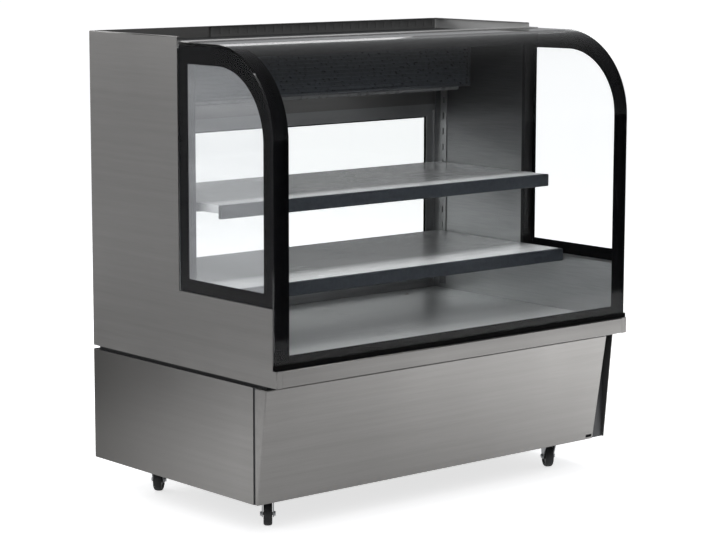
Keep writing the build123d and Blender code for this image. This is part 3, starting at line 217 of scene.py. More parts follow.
def new_finish(name):
    """A material with one Principled shader; gives the material, its tree and the shader."""
    finish = bpy.data.materials.new(name)
    finish.use_nodes = True
    tree = finish.node_tree
    return finish, tree, tree.nodes["Principled BSDF"]


def object_grain(tree, stretch, scale, detail=3.0):
    """Noise on the piece's own coordinates, stretched along one or more axes."""
    place = tree.nodes.new("ShaderNodeTexCoord").outputs["Object"]
    spread = from_node(tree, "ShaderNodeMapping", {"Vector": place, "Scale": stretch})
    return from_node(tree, "ShaderNodeTexNoise", {"Vector": spread, "Scale": scale, "Detail": detail})


def tint_over(tree, fac, dark, light):
    """A colour that runs from dark to light with the noise."""
    ramp = feed(tree, tree.nodes.new("ShaderNodeValToRGB"), {"Fac": fac})
    for stop, position, colour in zip(ramp.color_ramp.elements, (0.3, 0.7), (dark, light)):
        stop.position = position
        stop.color = tuple(colour) + (1.0,)
    return ramp.outputs["Color"]


def bumped(tree, fac, strength, distance):
    """A surface direction with bump from the noise."""
    return from_node(tree, "ShaderNodeBump", {"Height": fac, "Strength": strength, "Distance": distance})


def plain_finish(name, dark, light, rough, scale=90.0, metal=0.0, bump=0.06, depth=0.0003, shine=0.5):
    """Paint, moulding or cast metal with a faint uneven surface."""
    finish, tree, shader = new_finish(name)
    grain = object_grain(tree, (1.0, 1.0, 1.0), scale)
    feed(tree, shader, {
        "Base Color": tint_over(tree, grain, dark, light),
        "Metallic": metal,
        "Roughness": spread_over(tree, grain, *rough),
        "Specular IOR Level": shine,
        "Normal": bumped(tree, grain, bump, depth),
    })
    return finish


def dress(finish, *names):
    """Gives CAD pieces a finish."""
    for name in names:
        for slot in parts[name].material_slots:
            slot.material = finish


chassis_paint = plain_finish("chassis_paint", (0.035, 0.036, 0.038), (0.05, 0.051, 0.054), (0.4, 0.55), 700.0)
dress(chassis_paint, "base_chassis")

# Plinth: a folded dark strip between the base and the upper body, set back so that it
# stays in the shadow line. Its near-black colour is painted shade for the gap.
plinth_shade_black = plain_finish("plinth_shade_black", (0.014, 0.014, 0.015), (0.022, 0.022, 0.023), (0.5, 0.65), 500.0)
dress(plinth_shade_black, "plinth")

# Side panels of the base: 1.5 mm stainless sheet with a fine drawn grain, folded round the
# rear corners, with painted shade that darkens them towards the rear. The right one runs
# forward behind the front panel's end, with a black sheet inside it as painted shade for the gap.


def object_axes(tree):
    """The piece's own X, Y and Z."""
    place = tree.nodes.new("ShaderNodeTexCoord").outputs["Object"]
    return feed(tree, tree.nodes.new("ShaderNodeSeparateXYZ"), {0: place}).outputs


def steel_finish(
    name, along, dark=(0.205, 0.200, 0.194), light=(0.245, 0.240, 0.233), rough=(0.30, 0.40), metal=1.0,
    painted_shade=None,
):
    """Stainless sheet: a fine drawn grain, broader rolling streaks and faint handling marks.

    painted_shade is (tint, begin, end): painted shade, the sheet takes that tint where Y goes from begin to
    end.
    """
    finish, tree, shader = new_finish(name)
    fine = object_grain(tree, [14.0 if axis == along else 900.0 for axis in "xyz"], 1.0)
    streak = object_grain(tree, [1.2 if axis == along else 70.0 for axis in "xyz"], 1.0, 2.0)
    cloud = object_grain(tree, (1.0, 1.0, 1.0), 3.0)
    drawn = from_node(tree, "ShaderNodeMix", {"Factor": 0.45, "A": fine, "B": streak}, data_type="FLOAT")
    tint = tint_over(tree, drawn, dark, light)
    # Painted shade: a darker tint blended in along Y.
    if painted_shade:
        shade_tint, begin, end = painted_shade
        across = spread_over(tree, object_axes(tree)["Y"], 0.0, 1.0, begin, end)
        tint = mixed_colour(tree, across, tint, shade_tint + (1.0,))
    handled = spread_over(tree, cloud, -0.03, 0.05)
    feed(tree, shader, {
        "Base Color": tint,
        "Metallic": metal,
        "Roughness": maths(tree, "ADD", spread_over(tree, fine, *rough), handled),
        "Normal": bumped(tree, fine, 0.05, 0.0002),
    })
    return finish


def add_piece(name, shape, finish, slot, *nodes, body="case"):
    """Puts a finished mesh in the scene as a piece of a body, in place of CAD nodes if any."""
    mesh = shape
    if isinstance(shape, bmesh.types.BMesh):
        mesh = bpy.data.meshes.new(name)
        shape.to_mesh(mesh)
        shape.free()
    mesh.materials.clear()
    mesh.materials.append(finish)
    piece = placed_object(name, mesh)
    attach(piece, body)
    if nodes:
        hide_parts(*nodes)
    return piece


def turn_outward(shape):
    """Makes the faces of a shape point one way, outwards where it is closed."""
    bmesh.ops.recalc_face_normals(shape, faces=shape.faces)


def round_edges(shape, sharp_above, width, segments):
    """Rounds the edges where two faces meet at more than an angle."""
    edges = [
        edge for edge in shape.edges if len(edge.link_faces) == 2 and edge.calc_face_angle() > sharp_above
    ]
    rounded = bmesh.ops.bevel(
        shape, geom=edges, offset=width, segments=segments, profile=0.5, affect="EDGES", clamp_overlap=True
    )
    for face in rounded["faces"]:
        face.smooth = True


def folded_sheet(points, faces, middle, radius=0.0025):
    """A sheet of flat faces that meet in rounded folds, its outer side turned from middle."""
    sheet = bmesh.new()
    corners = [sheet.verts.new(point) for point in points]
    for face in faces:
        sheet.faces.new([corners[i] for i in face])
    turn_outward(sheet)
    widest = max(sheet.faces, key=lambda face: face.calc_area())
    if widest.normal.dot(widest.calc_center_median() - Vector(middle)) < 0:
        bmesh.ops.reverse_faces(sheet, faces=sheet.faces)
    round_edges(sheet, math.radians(15.0), radius, 4)
    return sheet


def thicken(piece, thickness, offset=-1.0):
    """Gives a sheet its thickness, on the inner side unless the offset says otherwise."""
    wall = piece.modifiers.new("sheet_thickness", "SOLIDIFY")
    wall.thickness = thickness
    wall.offset = offset
    wall.use_even_offset = True
    return wall


side_steel = steel_finish("side_steel", "y")
# Painted shade: the base sides darken towards the rear.
base_side_steel = steel_finish("base_side_steel", "y", painted_shade=((0.095, 0.092, 0.088), -0.24, 0.36))
base_low, base_high, base_rear, sheet_thickness = 0.090, 0.378, 0.383, 0.0015
half_width, fold_x = 0.600, 0.582
for side, name, front_top, front_foot in ((-1, "left", -0.292, -0.292), (1, "right", -0.333, -0.3055)):
    x, turned_in = side * half_width, side * fold_x
    sheet = folded_sheet(
        [
            (x, front_foot, base_low), (x, base_rear, base_low), (x, base_rear, base_high),
            (x, front_top, base_high), (turned_in, base_rear, base_low), (turned_in, base_rear, base_high),
        ],
        [(0, 1, 2, 3), (1, 4, 5, 2)],
        (0.0, 0.0, 0.2),
    )
    base_side = add_piece("base_side_" + name, sheet, base_side_steel, "steel", "base_sides")
    thicken(base_side, sheet_thickness)

# A black sheet inside the right side's forward part: painted shade for the gap beside the front panel's end.
gap_shade_black = plain_finish(
    "gap_shade_black", (0.026, 0.026, 0.026), (0.038, 0.038, 0.038), (0.8, 0.95), 900.0, bump=0.3
)
gap_shade_rim = ((-0.3315, 0.377), (-0.2996, 0.377), (-0.2996, 0.091), (-0.3042, 0.091))
gap_shade_x = half_width - sheet_thickness - 0.0001
painted_shade_lining = folded_sheet([(gap_shade_x, y, z) for y, z in gap_shade_rim], [(0, 1, 2, 3)], (0.9, -0.3, 0.2))
thicken(add_piece("base_side_gap_shade", painted_shade_lining, gap_shade_black, "dark_trim"), 0.0006)

# Front service panel: one stainless tray that leans back towards the floor, closed at both
# ends and lifted off by a small hand slot low at its right end.
front_steel = steel_finish("front_steel", "x")
top_y, foot_y, rear_y = -0.343, -0.307, -0.300
left_x, top_end, foot_end = -half_width, 0.566, 0.555
tray_points = [
    (left_x, top_y, base_high), (top_end, top_y, base_high), (foot_end, foot_y, base_low),
    (left_x, foot_y, base_low), (left_x, rear_y, base_high), (top_end, rear_y, base_high),
    (foot_end, rear_y, base_low), (left_x, rear_y, base_low),
]
tray_faces = [(0, 1, 2, 3), (0, 4, 5, 1), (3, 2, 6, 7), (0, 3, 7, 4), (1, 5, 6, 2)]
tray = folded_sheet(tray_points, tray_faces, (0.0, -0.1, 0.2), 0.003)
slot_low, slot_high = (0.527, 0.096), (0.549, 0.104)
for place, way in (
    ((slot_low[0], 0, 0), (1, 0, 0)), ((slot_high[0], 0, 0), (1, 0, 0)),
    ((0, 0, slot_low[1]), (0, 0, 1)), ((0, 0, slot_high[1]), (0, 0, 1)),
):
    near = [face for face in tray.faces if abs(face.normal.x) < 0.5 and face.normal.y < -0.9]
    cut = near + list({edge for face in near for edge in face.edges})
    cut += list({corner for face in near for corner in face.verts})
    bmesh.ops.bisect_plane(tray, geom=cut, plane_co=place, plane_no=way, dist=1e-6)
opening = [
    face for face in tray.faces
    if slot_low[0] < face.calc_center_median().x < slot_high[0]
    and slot_low[1] < face.calc_center_median().z < slot_high[1] and face.normal.y < -0.9
]
bmesh.ops.delete(tray, geom=opening, context="FACES_ONLY")
thicken(add_piece("front_panel", tray, front_steel, "steel", "front_service_panel"), sheet_thickness)

# Rear service panel and control panel: stainless trays let into the rear, one with pressed
# louvres for the condenser's air, one cut out for the operator's unit and the inlet.


def add_rounded(name, node, width, finish, slot, body="case"):
    """Puts a copy of a CAD piece in its place, with the sharp edges broken as by deburring."""
    flat_below, sharp_above = math.radians(0.6), math.radians(25.0)
    copy = bmesh.new()
    copy.from_mesh(parts[node].data)
    bmesh.ops.remove_doubles(copy, verts=copy.verts, dist=1e-6)
    bmesh.ops.dissolve_limit(copy, angle_limit=math.radians(0.5), verts=copy.verts, edges=copy.edges)
    for face in copy.faces:
        face.smooth = any(
            len(edge.link_faces) == 2 and flat_below < edge.calc_face_angle() < sharp_above
            for edge in face.edges
        )
    round_edges(copy, sharp_above, width, 2)
    add_piece(name, copy, finish, slot, node, body=body)


add_rounded("louvred_panel", "rear_service_panel", 0.0004, front_steel, "steel")
add_rounded("rear_control_panel", "control_panel", 0.0004, front_steel, "steel")

# Upper body skins: stainless side sheets cut round the side panes, folded in at the front,
# up the rear corners and along the roof's edge. Their inner side keeps its dull mill finish.
mill_side = steel_finish("mill_side", "y", (0.50, 0.50, 0.495), (0.58, 0.58, 0.575), (0.42, 0.55), 0.6)
seam, fascia_top, sill, body_top = 0.388, 0.429, 0.577, 1.203
front, pane_front, section = -0.383, -0.368, 0.003
for side, name in ((-1, "side_skin_left"), (1, "side_skin_right")):
    x, deep, shallow = side * half_width, side * fold_x, side * 0.588
    outline = [
        (x, front, seam), (x, base_rear, seam), (x, base_rear, body_top), (x, section, body_top),
        (x, section, sill), (x, pane_front, sill), (x, pane_front, fascia_top), (x, front, fascia_top),
    ]
    returns = [
        (deep, front, seam), (deep, front, fascia_top), (deep, base_rear, seam),
        (deep, base_rear, body_top - 0.002), (shallow, section, body_top),
        (shallow, base_rear - 0.002, body_top),
    ]
    faces = [tuple(range(8)), (0, 7, 9, 8), (1, 10, 11, 2), (2, 13, 12, 3)]
    skin = folded_sheet(outline + returns, faces, (0.0, 0.1, 0.8))
    skin_piece = add_piece(name + "_sheet", skin, side_steel, "steel", name)
    skin_piece.data.materials.append(mill_side)
    thicken(skin_piece, sheet_thickness).material_offset = 1

# Inner walls, floor, rear head and roof: foam-filled panels faced with dull stainless inside
# the well, with painted shade that darkens the lining towards the top. The jambs that stand
# behind the side panes are dark.


def liner_finish(name):
    """Dull stainless lining with painted shade that darkens it with height, and dark grey on the jambs."""
    finish, tree, shader = new_finish(name)
    grain = object_grain(tree, (260.0, 12.0, 260.0), 1.0)
    axes = object_axes(tree)
    lit = tint_over(tree, grain, (0.38, 0.388, 0.393), (0.46, 0.468, 0.473))
    shaded = tint_over(tree, grain, (0.05, 0.051, 0.053), (0.07, 0.071, 0.073))
    painted_shade_lining = mixed_colour(tree, spread_over(tree, axes["Z"], 0.0, 1.0, 0.55, 0.98), lit, shaded)
    before_panes = spread_over(tree, axes["Y"], 1.0, 0.0, -0.0105, -0.0095)
    above_sills = spread_over(tree, axes["Z"], 0.0, 1.0, 0.5765, 0.5775)
    on_jamb = maths(tree, "MULTIPLY", before_panes, above_sills)
    feed(tree, shader, {
        "Base Color": mixed_colour(tree, on_jamb, painted_shade_lining, (0.02, 0.02, 0.021, 1.0)),
        "Metallic": 0.85,
        "Roughness": spread_over(tree, grain, 0.34, 0.46),
        "Normal": bumped(tree, grain, 0.06, 0.0003),
    })
    return finish


well_lining = liner_finish("well_lining")
dress(well_lining, "side_walls", "insulated_floor", "roof_panel")
rear_steel = steel_finish("rear_steel", "x", (0.26, 0.255, 0.25), (0.30, 0.295, 0.29))
dress(rear_steel, "rear_head", "rear_apron")

# Fascia: a stainless channel across the front under the glass, its lips turned back. It closes
# the front of the insulated floor between the side skins and carries the glass's channel.
fascia_x = 0.5815
lips = [(front + 0.022, seam), (front, seam), (front, fascia_top), (front + 0.022, fascia_top)]


def folded_strip(line, x_low, x_high, middle, radius=0.002):
    """A strip folded along X through the points (y, z) of a line."""
    points = [(x, y, z) for x in (x_low, x_high) for y, z in line]
    count = len(line)
    faces = [(i, i + 1, count + i + 1, count + i) for i in range(count - 1)]
    return folded_sheet(points, faces, middle, radius)


fascia = folded_strip(lips, -fascia_x, fascia_x, (0.0, -0.36, 0.41), 0.0022)
thicken(add_piece("fascia_sheet", fascia, front_steel, "steel", "front_fascia"), sheet_thickness)

# Roof vent strip: a dark moulding with a row of shallow slots, set against the inside of the
# roof's rear upstand.
vent_black = plain_finish("vent_black", (0.070, 0.070, 0.069), (0.092, 0.092, 0.090), (0.45, 0.6), 300.0)
dress(vent_black, "roof_vent")

# Curved front glass: one tempered pane bent through a quarter round, with its borders fired
# on from inside. The ink is matt black under the glass.


def glass_finish(name, colour, ior, smears):
    """Clear float glass that lets lamp light through, with faint wiping marks."""
    finish, tree, shader = new_finish(name)
    wiped = object_grain(tree, (6.0, 6.0, 22.0), 1.0)
    feed(tree, shader, {
        "Base Color": colour + (1.0,),
        "Roughness": spread_over(tree, wiped, 0.0, smears, 0.45, 0.75),
        "IOR": ior,
        "Transmission Weight": 1.0,
    })
    clear = from_node(tree, "ShaderNodeBsdfTransparent", {"Color": colour + (1.0,)})
    lamp_light = tree.nodes.new("ShaderNodeLightPath").outputs["Is Shadow Ray"]
    let_through = from_node(tree, "ShaderNodeMixShader", {0: lamp_light, 1: shader.outputs[0], 2: clear})
    feed(tree, tree.nodes["Material Output"], {"Surface": let_through})
    return finish


front_clear = glass_finish("front_clear", (0.985, 0.99, 0.988), 1.16, 0.0)
dress(front_clear, "front_glass")
border_ink = plain_finish(
    "border_ink", (0.0015, 0.0015, 0.002), (0.003, 0.003, 0.0035), (0.6, 0.7), 40.0, bump=0.0, shine=0.0
)
arc_y, arc_z = -0.155, 0.970


def round_bend(radius, centre_z):
    """The points (y, z) of a quarter round that follows the glass, from the front up to the top."""
    turns = [math.radians(90.0 * i / 24) for i in range(25)]
    return [(arc_y - radius * math.cos(a), centre_z + radius * math.sin(a)) for a in turns]


ink_radius, window_side, print_thickness = 0.2138, 0.551, 0.00015
profile = [(arc_y - ink_radius, z) for z in (0.4315, 0.462)] + round_bend(ink_radius, arc_z)
profile += [(y, arc_z + ink_radius) for y in (-0.078, -0.038)]
ink = bmesh.new()
columns = (-0.5999, -window_side, window_side, 0.5999)
grid = [[ink.verts.new((x, y, z)) for x in columns] for y, z in profile]
for row, next_row in zip(grid, grid[1:]):
    at_an_end = row is grid[0] or next_row is grid[-1]
    for i in range(3):
        if i == 1 and not at_an_end:
            continue
        strip = ink.faces.new((row[i], row[i + 1], next_row[i + 1], next_row[i]))
        strip.smooth = True
turn_outward(ink)
front_ink = add_piece("front_border_print", ink, border_ink, "black_border", "glass_borders")
thicken(front_ink, print_thickness, 0.0)

# Side panes: flat glass cut to the front pane's curve, standing on the side sills. A thin
# coated film on the inside of the clear window keeps the cold in and looks faintly milky. On the
# left pane it is ten times as milky, a painted reflection that lightens the glass.
side_clear = glass_finish("side_clear", (0.98, 0.985, 0.985), 1.13, 0.0)
dress(side_clear, "side_glass")
window_rim = [(-0.034, 0.610), (-0.330, 0.610), *round_bend(0.175, 0.963), (-0.034, 1.138)]
pane_rim = [(0.0018, 0.5772), (-0.3678, 0.5772), *round_bend(0.2128, arc_z), (0.0018, 1.1828)]


def band(shape, first, second):
    """A closed band of faces between two rings of corners."""
    for i in range(len(first)):
        j = (i + 1) % len(first)
        shape.faces.new((first[i], first[j], second[j], second[i]))


film_x, ink_x = 0.5933, 0.5938
# The left film's extra milkiness is a painted reflection on the near pane.
for side, name, milk_and_painted_sheen in ((-1, "left", 0.15), (1, "right", 0.015)):
    film_finish, tree, shader = new_finish("side_film_" + name)
    wipes = object_grain(tree, (1.0, 3.0, 26.0), 1.0)
    feed(tree, shader, {
        "Base Color": tint_over(tree, wipes, (0.66, 0.67, 0.69), (0.90, 0.91, 0.93)),
        "Roughness": spread_over(tree, wipes, 0.5, 0.7),
        "Alpha": milk_and_painted_sheen,
        "Specular IOR Level": 0.1,
    })
    film = bmesh.new()
    film.faces.new([film.verts.new((side * film_x, y, z)) for y, z in window_rim])
    turn_outward(film)
    thicken(add_piece("side_film_" + name, film, film_finish, "clear_glass"), 0.0002)
    side_ink = bmesh.new()
    rings = [[side_ink.verts.new((side * ink_x, y, z)) for y, z in line] for line in (pane_rim, window_rim)]
    band(side_ink, *rings)
    turn_outward(side_ink)
    print_name = "side_border_print_" + name
    side_print = add_piece(print_name, side_ink, border_ink, "black_border", "glass_borders")
    thicken(side_print, print_thickness, 0.0)

# Glass channel: extruded black rubber along the fascia. The front pane's lower edge stands in
# it and shows the black through the glass.
channel_rubber = plain_finish(
    "channel_rubber", (0.003, 0.003, 0.003), (0.005, 0.005, 0.005), (0.7, 0.85), 350.0, shine=0.03
)
dress(channel_rubber, "front_glass_seal")

# Top rail: a folded stainless strip that clamps the rear edge of the front pane to the roof. It
# lies over the glass and steps down behind it.
rail_x = 0.5933
rail_line = [(-0.038, 1.192), (0.0045, 1.192), (0.0045, 1.176), (0.0245, 1.176)]
rail = folded_strip(rail_line, -rail_x, rail_x, (0.0, -0.02, 1.17), 0.0018)
rail_steel = steel_finish("rail_steel", "x", (0.46, 0.457, 0.45), (0.54, 0.537, 0.53), (0.32, 0.42), 0.75)
thicken(add_piece("glass_rail", rail, rail_steel, "steel", "glass_top_rail"), 0.002)

# Rear doorway: twin anodised aluminium tracks above and below, with a trim up each side. The
# doors slide past each other in them.
alloy = steel_finish("door_alloy", "x", (0.40, 0.405, 0.41), (0.46, 0.465, 0.47), (0.3, 0.42))
add_rounded("doorway_tracks", "door_tracks", 0.0004, alloy, "extrusion")

# Sliding doors: anodised frames round insulating glass, each with a sunk finger pull. A rubber
# bead holds the glass on both sides.
door_clear = glass_finish("door_clear", (0.97, 0.985, 0.98), 1.45, 0.004)
dress(door_clear, "rear_door_glass_left", "rear_door_glass_right")
for side in ("left", "right"):
    body = "door_" + side
    frame_node = "rear_door_frame_" + side
    add_rounded("door_frame_" + side, frame_node, 0.0006, alloy, "extrusion", body)
    low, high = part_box(frame_node)
    pane_low, pane_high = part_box("rear_door_glass_" + side)
    bead = bmesh.new()
    covered, bead_rim, sunk = 0.008, 0.0035, 0.0042
    for face_y in (low[1] + sunk, high[1] - sunk):
        rings = []
        for inset in (covered, covered + bead_rim):
            corners = oblong(
                pane_low[0] + inset, pane_low[2] + inset, pane_high[0] - inset, pane_high[2] - inset
            )
            rings.append([bead.verts.new((x, face_y, z)) for x, z in corners])
        band(bead, *rings)
    turn_outward(bead)
    thicken(add_piece("glazing_bead_" + side, bead, channel_rubber, "seal_rubber", body=body), 0.0016, 0.0)

# Shelves: polished stainless pans open below, hung on brackets, each with a deep painted
# nosing pushed over its front edge.
# Painted shade darkens each pan behind its front strip, leaving the front edge bright.
painted_rear_shade = ((0.30, 0.303, 0.307), -0.075, -0.03)
shelf_steel = steel_finish(
    "shelf_steel", "x", (0.88, 0.885, 0.89), (0.95, 0.955, 0.96), (0.18, 0.26), 0.2, painted_rear_shade
)
for name in ("upper_shelf", "middle_shelf"):
    low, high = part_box(name)
    corners = [(x, y, z) for z in (high[2], low[2]) for x, y in oblong(low[0], low[1], high[0], high[1])]
    pan_faces = [(0, 1, 2, 3), (0, 4, 5, 1), (1, 5, 6, 2), (2, 6, 7, 3), (3, 7, 4, 0)]
    pan = folded_sheet(corners, pan_faces, (0.0, (low[1] + high[1]) / 2, low[2] - 0.2), 0.0022)
    thicken(add_piece(name + "_pan", pan, shelf_steel, "shelf_steel", name), 0.0015)
nosing_blue = plain_finish("nosing_blue", (0.022, 0.026, 0.032), (0.034, 0.039, 0.046), (0.4, 0.5), shine=0.15)
dress(nosing_blue, "shelf_nosings")

# Shelf brackets and slotted uprights: stamped stainless. The uprights stand on the side walls
# near the rear, and the brackets hook into their slots.
bracket_steel = steel_finish("bracket_steel", "z", (0.22, 0.223, 0.225), (0.27, 0.273, 0.275))
add_rounded("shelf_brackets", "shelf_supports", 0.0003, bracket_steel, "shelf_steel")

# Deck: a stainless sheet that lies on the insulated floor, its front edge hemmed down. It is
# the lowest display surface.
deck_steel = steel_finish("deck_steel", "x", (0.58, 0.588, 0.593), (0.66, 0.668, 0.673), (0.28, 0.38), 0.6)
dress(deck_steel, "deck")

# Lamps: slim tubes under smoked covers, one under each shelf front and one at the foot of
# the evaporator housing. They are off.
lamp_cover = plain_finish("lamp_cover", (0.10, 0.102, 0.105), (0.14, 0.142, 0.145), (0.25, 0.35), 60.0)
dress(lamp_cover, "lamps")

# Evaporator housing: a dark painted sheet box under the ceiling, its front made of close
# louvre blades the full width of the well, with the fan wall and the fan shafts inside it.
housing_paint = plain_finish(
    "housing_paint", (0.044, 0.048, 0.055), (0.066, 0.072, 0.082), (0.32, 0.45), metal=0.2
)
blade_paint = plain_finish(
    "blade_paint", (0.080, 0.088, 0.100), (0.125, 0.137, 0.155), (0.26, 0.36), metal=0.3
)
low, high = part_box("evaporator_housing")
stile, rim = 0.012, 0.007
x0, x1, y0, y1, z0, z1 = low[0], high[0], low[1], high[1], low[2], high[2]
mouth_corners = oblong(x0 + stile, z0 + rim, x1 - stile, z1 - rim)
shell_points = [
    (x, y, z)
    for y, corners in ((y0, oblong(x0, z0, x1, z1)), (y0, mouth_corners), (y1, oblong(x0, z0, x1, z1)))
    for x, z in corners
]
shell_faces = [
    (0, 1, 5, 4), (1, 2, 6, 5), (2, 3, 7, 6), (3, 0, 4, 7), (0, 8, 9, 1), (1, 9, 10, 2), (0, 3, 11, 8),
]
shell = folded_sheet(shell_points, shell_faces, ((x0 + x1) / 2, (y0 + y1) / 2, z1), 0.003)
thicken(add_piece("housing_shell", shell, housing_paint, "housing_paint", "evaporator_housing"), 0.002)


def node_tree(name, sizes):
    """A new Geometry Nodes tree with a named number for each size; gives what goes in and out."""
    tree = bpy.data.node_groups.new(name, "GeometryNodeTree")
    tree.interface.new_socket("Geometry", in_out="INPUT", socket_type="NodeSocketGeometry")
    for label, value in sizes.items():
        kind = "NodeSocketInt" if isinstance(value, int) else "NodeSocketFloat"
        tree.interface.new_socket(label, in_out="INPUT", socket_type=kind)
    tree.interface.new_socket("Geometry", in_out="OUTPUT", socket_type="NodeSocketGeometry")
    return tree, tree.nodes.new("NodeGroupInput").outputs, tree.nodes.new("NodeGroupOutput")


def close_tree(tree, geometry, group_out, finish):
    """Ends a tree in Realize Instances and Set Material."""
    real = from_node(tree, "GeometryNodeRealizeInstances", {0: geometry})
    painted = from_node(tree, "GeometryNodeSetMaterial", {"Geometry": real, "Material": finish})
    tree.links.new(painted, group_out.inputs[0])


def row_of(tree, shape, count, step=(0.0, 0.0, 0.0), **more):
    """Copies of a shape on a row of points that stand a step apart."""
    row = from_node(tree, "GeometryNodeMeshLine", {"Count": count, "Offset": step})
    return from_node(tree, "GeometryNodeInstanceOnPoints", {"Points": row, "Instance": shape, **more})


def grown_mesh(name, tree, sizes, place, turn_x=0.0, points=((0.0, 0.0, 0.0),)):
    """Runs a tree on a mesh of points, and gives what it makes as a plain mesh in its place."""
    seed_mesh = bpy.data.meshes.new(name + "_points")
    seed_mesh.from_pydata(points, [], [])
    seed = placed_object(name + "_points", seed_mesh)
    grow = seed.modifiers.new("grow", "NODES")
    grow.node_group = tree
    for item in tree.interface.items_tree:
        if item.item_type == "SOCKET" and item.in_out == "INPUT" and item.name in sizes:
            grow[item.identifier] = sizes[item.name]
    shot = seed.evaluated_get(bpy.context.evaluated_depsgraph_get())
    mesh = bpy.data.meshes.new_from_object(shot)
    mesh.name = name
    mesh.transform(Matrix.Translation(place) @ Matrix.Rotation(turn_x, 4, "X"))
    seed.modifiers.remove(grow)
    bpy.data.objects.remove(seed)
    bpy.data.meshes.remove(seed_mesh)
    return mesh


blade_sizes = {"Count": 11, "Pitch": 0.0108, "Length": x1 - x0 - 0.022, "Depth": 0.012, "Droop": 0.0112}
tree, given, made = node_tree("louvre_blades", blade_sizes)
step = from_node(tree, "ShaderNodeCombineXYZ", {"Z": given["Pitch"]})
grid_sizes = {"Vertices X": 2, "Vertices Y": 6, "Size X": given["Length"], "Size Y": given["Depth"]}
blade = from_node(tree, "GeometryNodeMeshGrid", grid_sizes)
spot = tree.nodes.new("GeometryNodeInputPosition").outputs[0]
across = from_node(tree, "ShaderNodeSeparateXYZ", {0: spot}, "Y")
from_back = maths(tree, "SUBTRACT", 0.5, maths(tree, "DIVIDE", across, given["Depth"]))
fall = maths(tree, "MULTIPLY", maths(tree, "POWER", from_back, 1.6), given["Droop"])
shift = from_node(tree, "ShaderNodeCombineXYZ", {"Z": maths(tree, "MULTIPLY", fall, -1.0)})
bent = from_node(tree, "GeometryNodeSetPosition", {"Geometry": blade, "Offset": shift})
close_tree(tree, row_of(tree, bent, given["Count"], step), made, blade_paint)
blade_place = ((x0 + x1) / 2, y0 + 0.0072, z0 + rim + 0.0066)
blades = grown_mesh("housing_blades", tree, blade_sizes, blade_place)
thicken(add_piece("housing_blades", blades, blade_paint, "housing_paint"), 0.0009)

# Fan wall in the housing: a painted sheet with two round mouths. A wire guard stands before
# each fan and a motor behind it.
guard_sizes = {"Rings": 5, "Inner": 0.016, "Step": 0.008, "Wire": 0.0011, "Spokes": 4, "Reach": 0.05}
tree, given, made = node_tree("wire_guard", guard_sizes)
number = tree.nodes.new("GeometryNodeInputIndex").outputs[0]
ring_radius = maths(tree, "MULTIPLY_ADD", number, given["Step"], given["Inner"])
unit_ring = from_node(tree, "GeometryNodeCurvePrimitiveCircle", {"Resolution": 40, "Radius": 1.0})
rings = row_of(tree, unit_ring, given["Rings"], Scale=ring_radius)
spoke_end = from_node(tree, "ShaderNodeCombineXYZ", {"X": given["Reach"]})
spoke_line = from_node(tree, "GeometryNodeCurvePrimitiveLine", {"End": spoke_end})
spoke_turn = maths(tree, "DIVIDE", 2.0 * math.pi, given["Spokes"])
spoke_angle = maths(tree, "MULTIPLY", number, spoke_turn)
spoke_twist = from_node(tree, "ShaderNodeCombineXYZ", {"Z": spoke_angle})
spokes = row_of(tree, spoke_line, given["Spokes"], Rotation=spoke_twist)
wires = feed(tree, tree.nodes.new("GeometryNodeJoinGeometry"), {0: rings})
feed(tree, wires, {0: spokes})
loose = from_node(tree, "GeometryNodeRealizeInstances", {0: wires.outputs[0]})
wire_section = from_node(tree, "GeometryNodeCurvePrimitiveCircle", {"Resolution": 6, "Radius": given["Wire"]})
wire_feeds = {"Curve": loose, "Profile Curve": wire_section, "Fill Caps": True}
drawn = from_node(tree, "GeometryNodeCurveToMesh", wire_feeds)
guard_wire = plain_finish("guard_wire", (0.03, 0.03, 0.032), (0.05, 0.05, 0.053), (0.3, 0.4), 200.0, 0.6)
close_tree(tree, drawn, made, guard_wire)
guard_tree = tree

fan_wall_y, fan_x, bay, mouth, centre_z = 0.241, 0.26, 0.06, 0.047, (z0 + z1) / 2
wall = bmesh.new()
wall_x = [x0 + 0.004, -fan_x - bay, -fan_x + bay, fan_x - bay, fan_x + bay, x1 - 0.004]
for i in range(5):
    left_edge, right_edge = wall_x[i], wall_x[i + 1]
    if i not in (1, 3):
        corners = oblong(left_edge, z0 + 0.002, right_edge, z1)
        wall.faces.new([wall.verts.new((px, fan_wall_y, pz)) for px, pz in corners])
        continue
    middle_x, count = (left_edge + right_edge) / 2, 32
    half_w, half_h = (right_edge - left_edge) / 2, (z1 - z0 - 0.002) / 2
    rings = [], []
    for k in range(count):
        a = 2 * math.pi * (k + 0.5) / count
        c, s = math.cos(a), math.sin(a)
        stretch = min(half_w / max(abs(c), 1e-6), half_h / max(abs(s), 1e-6))
        for ring, radius, lift in zip(rings, (mouth, stretch), (0.0, 0.001)):
            place = (middle_x + radius * c, fan_wall_y, centre_z + lift + radius * s)
            ring.append(wall.verts.new(place))
    band(wall, *rings)
turn_outward(wall)
thicken(add_piece("fan_wall", wall, housing_paint, "housing_paint"), 0.002)
motor_black = plain_finish("motor_black", (0.012, 0.012, 0.013), (0.02, 0.02, 0.021), (0.35, 0.5), 300.0, 0.2)


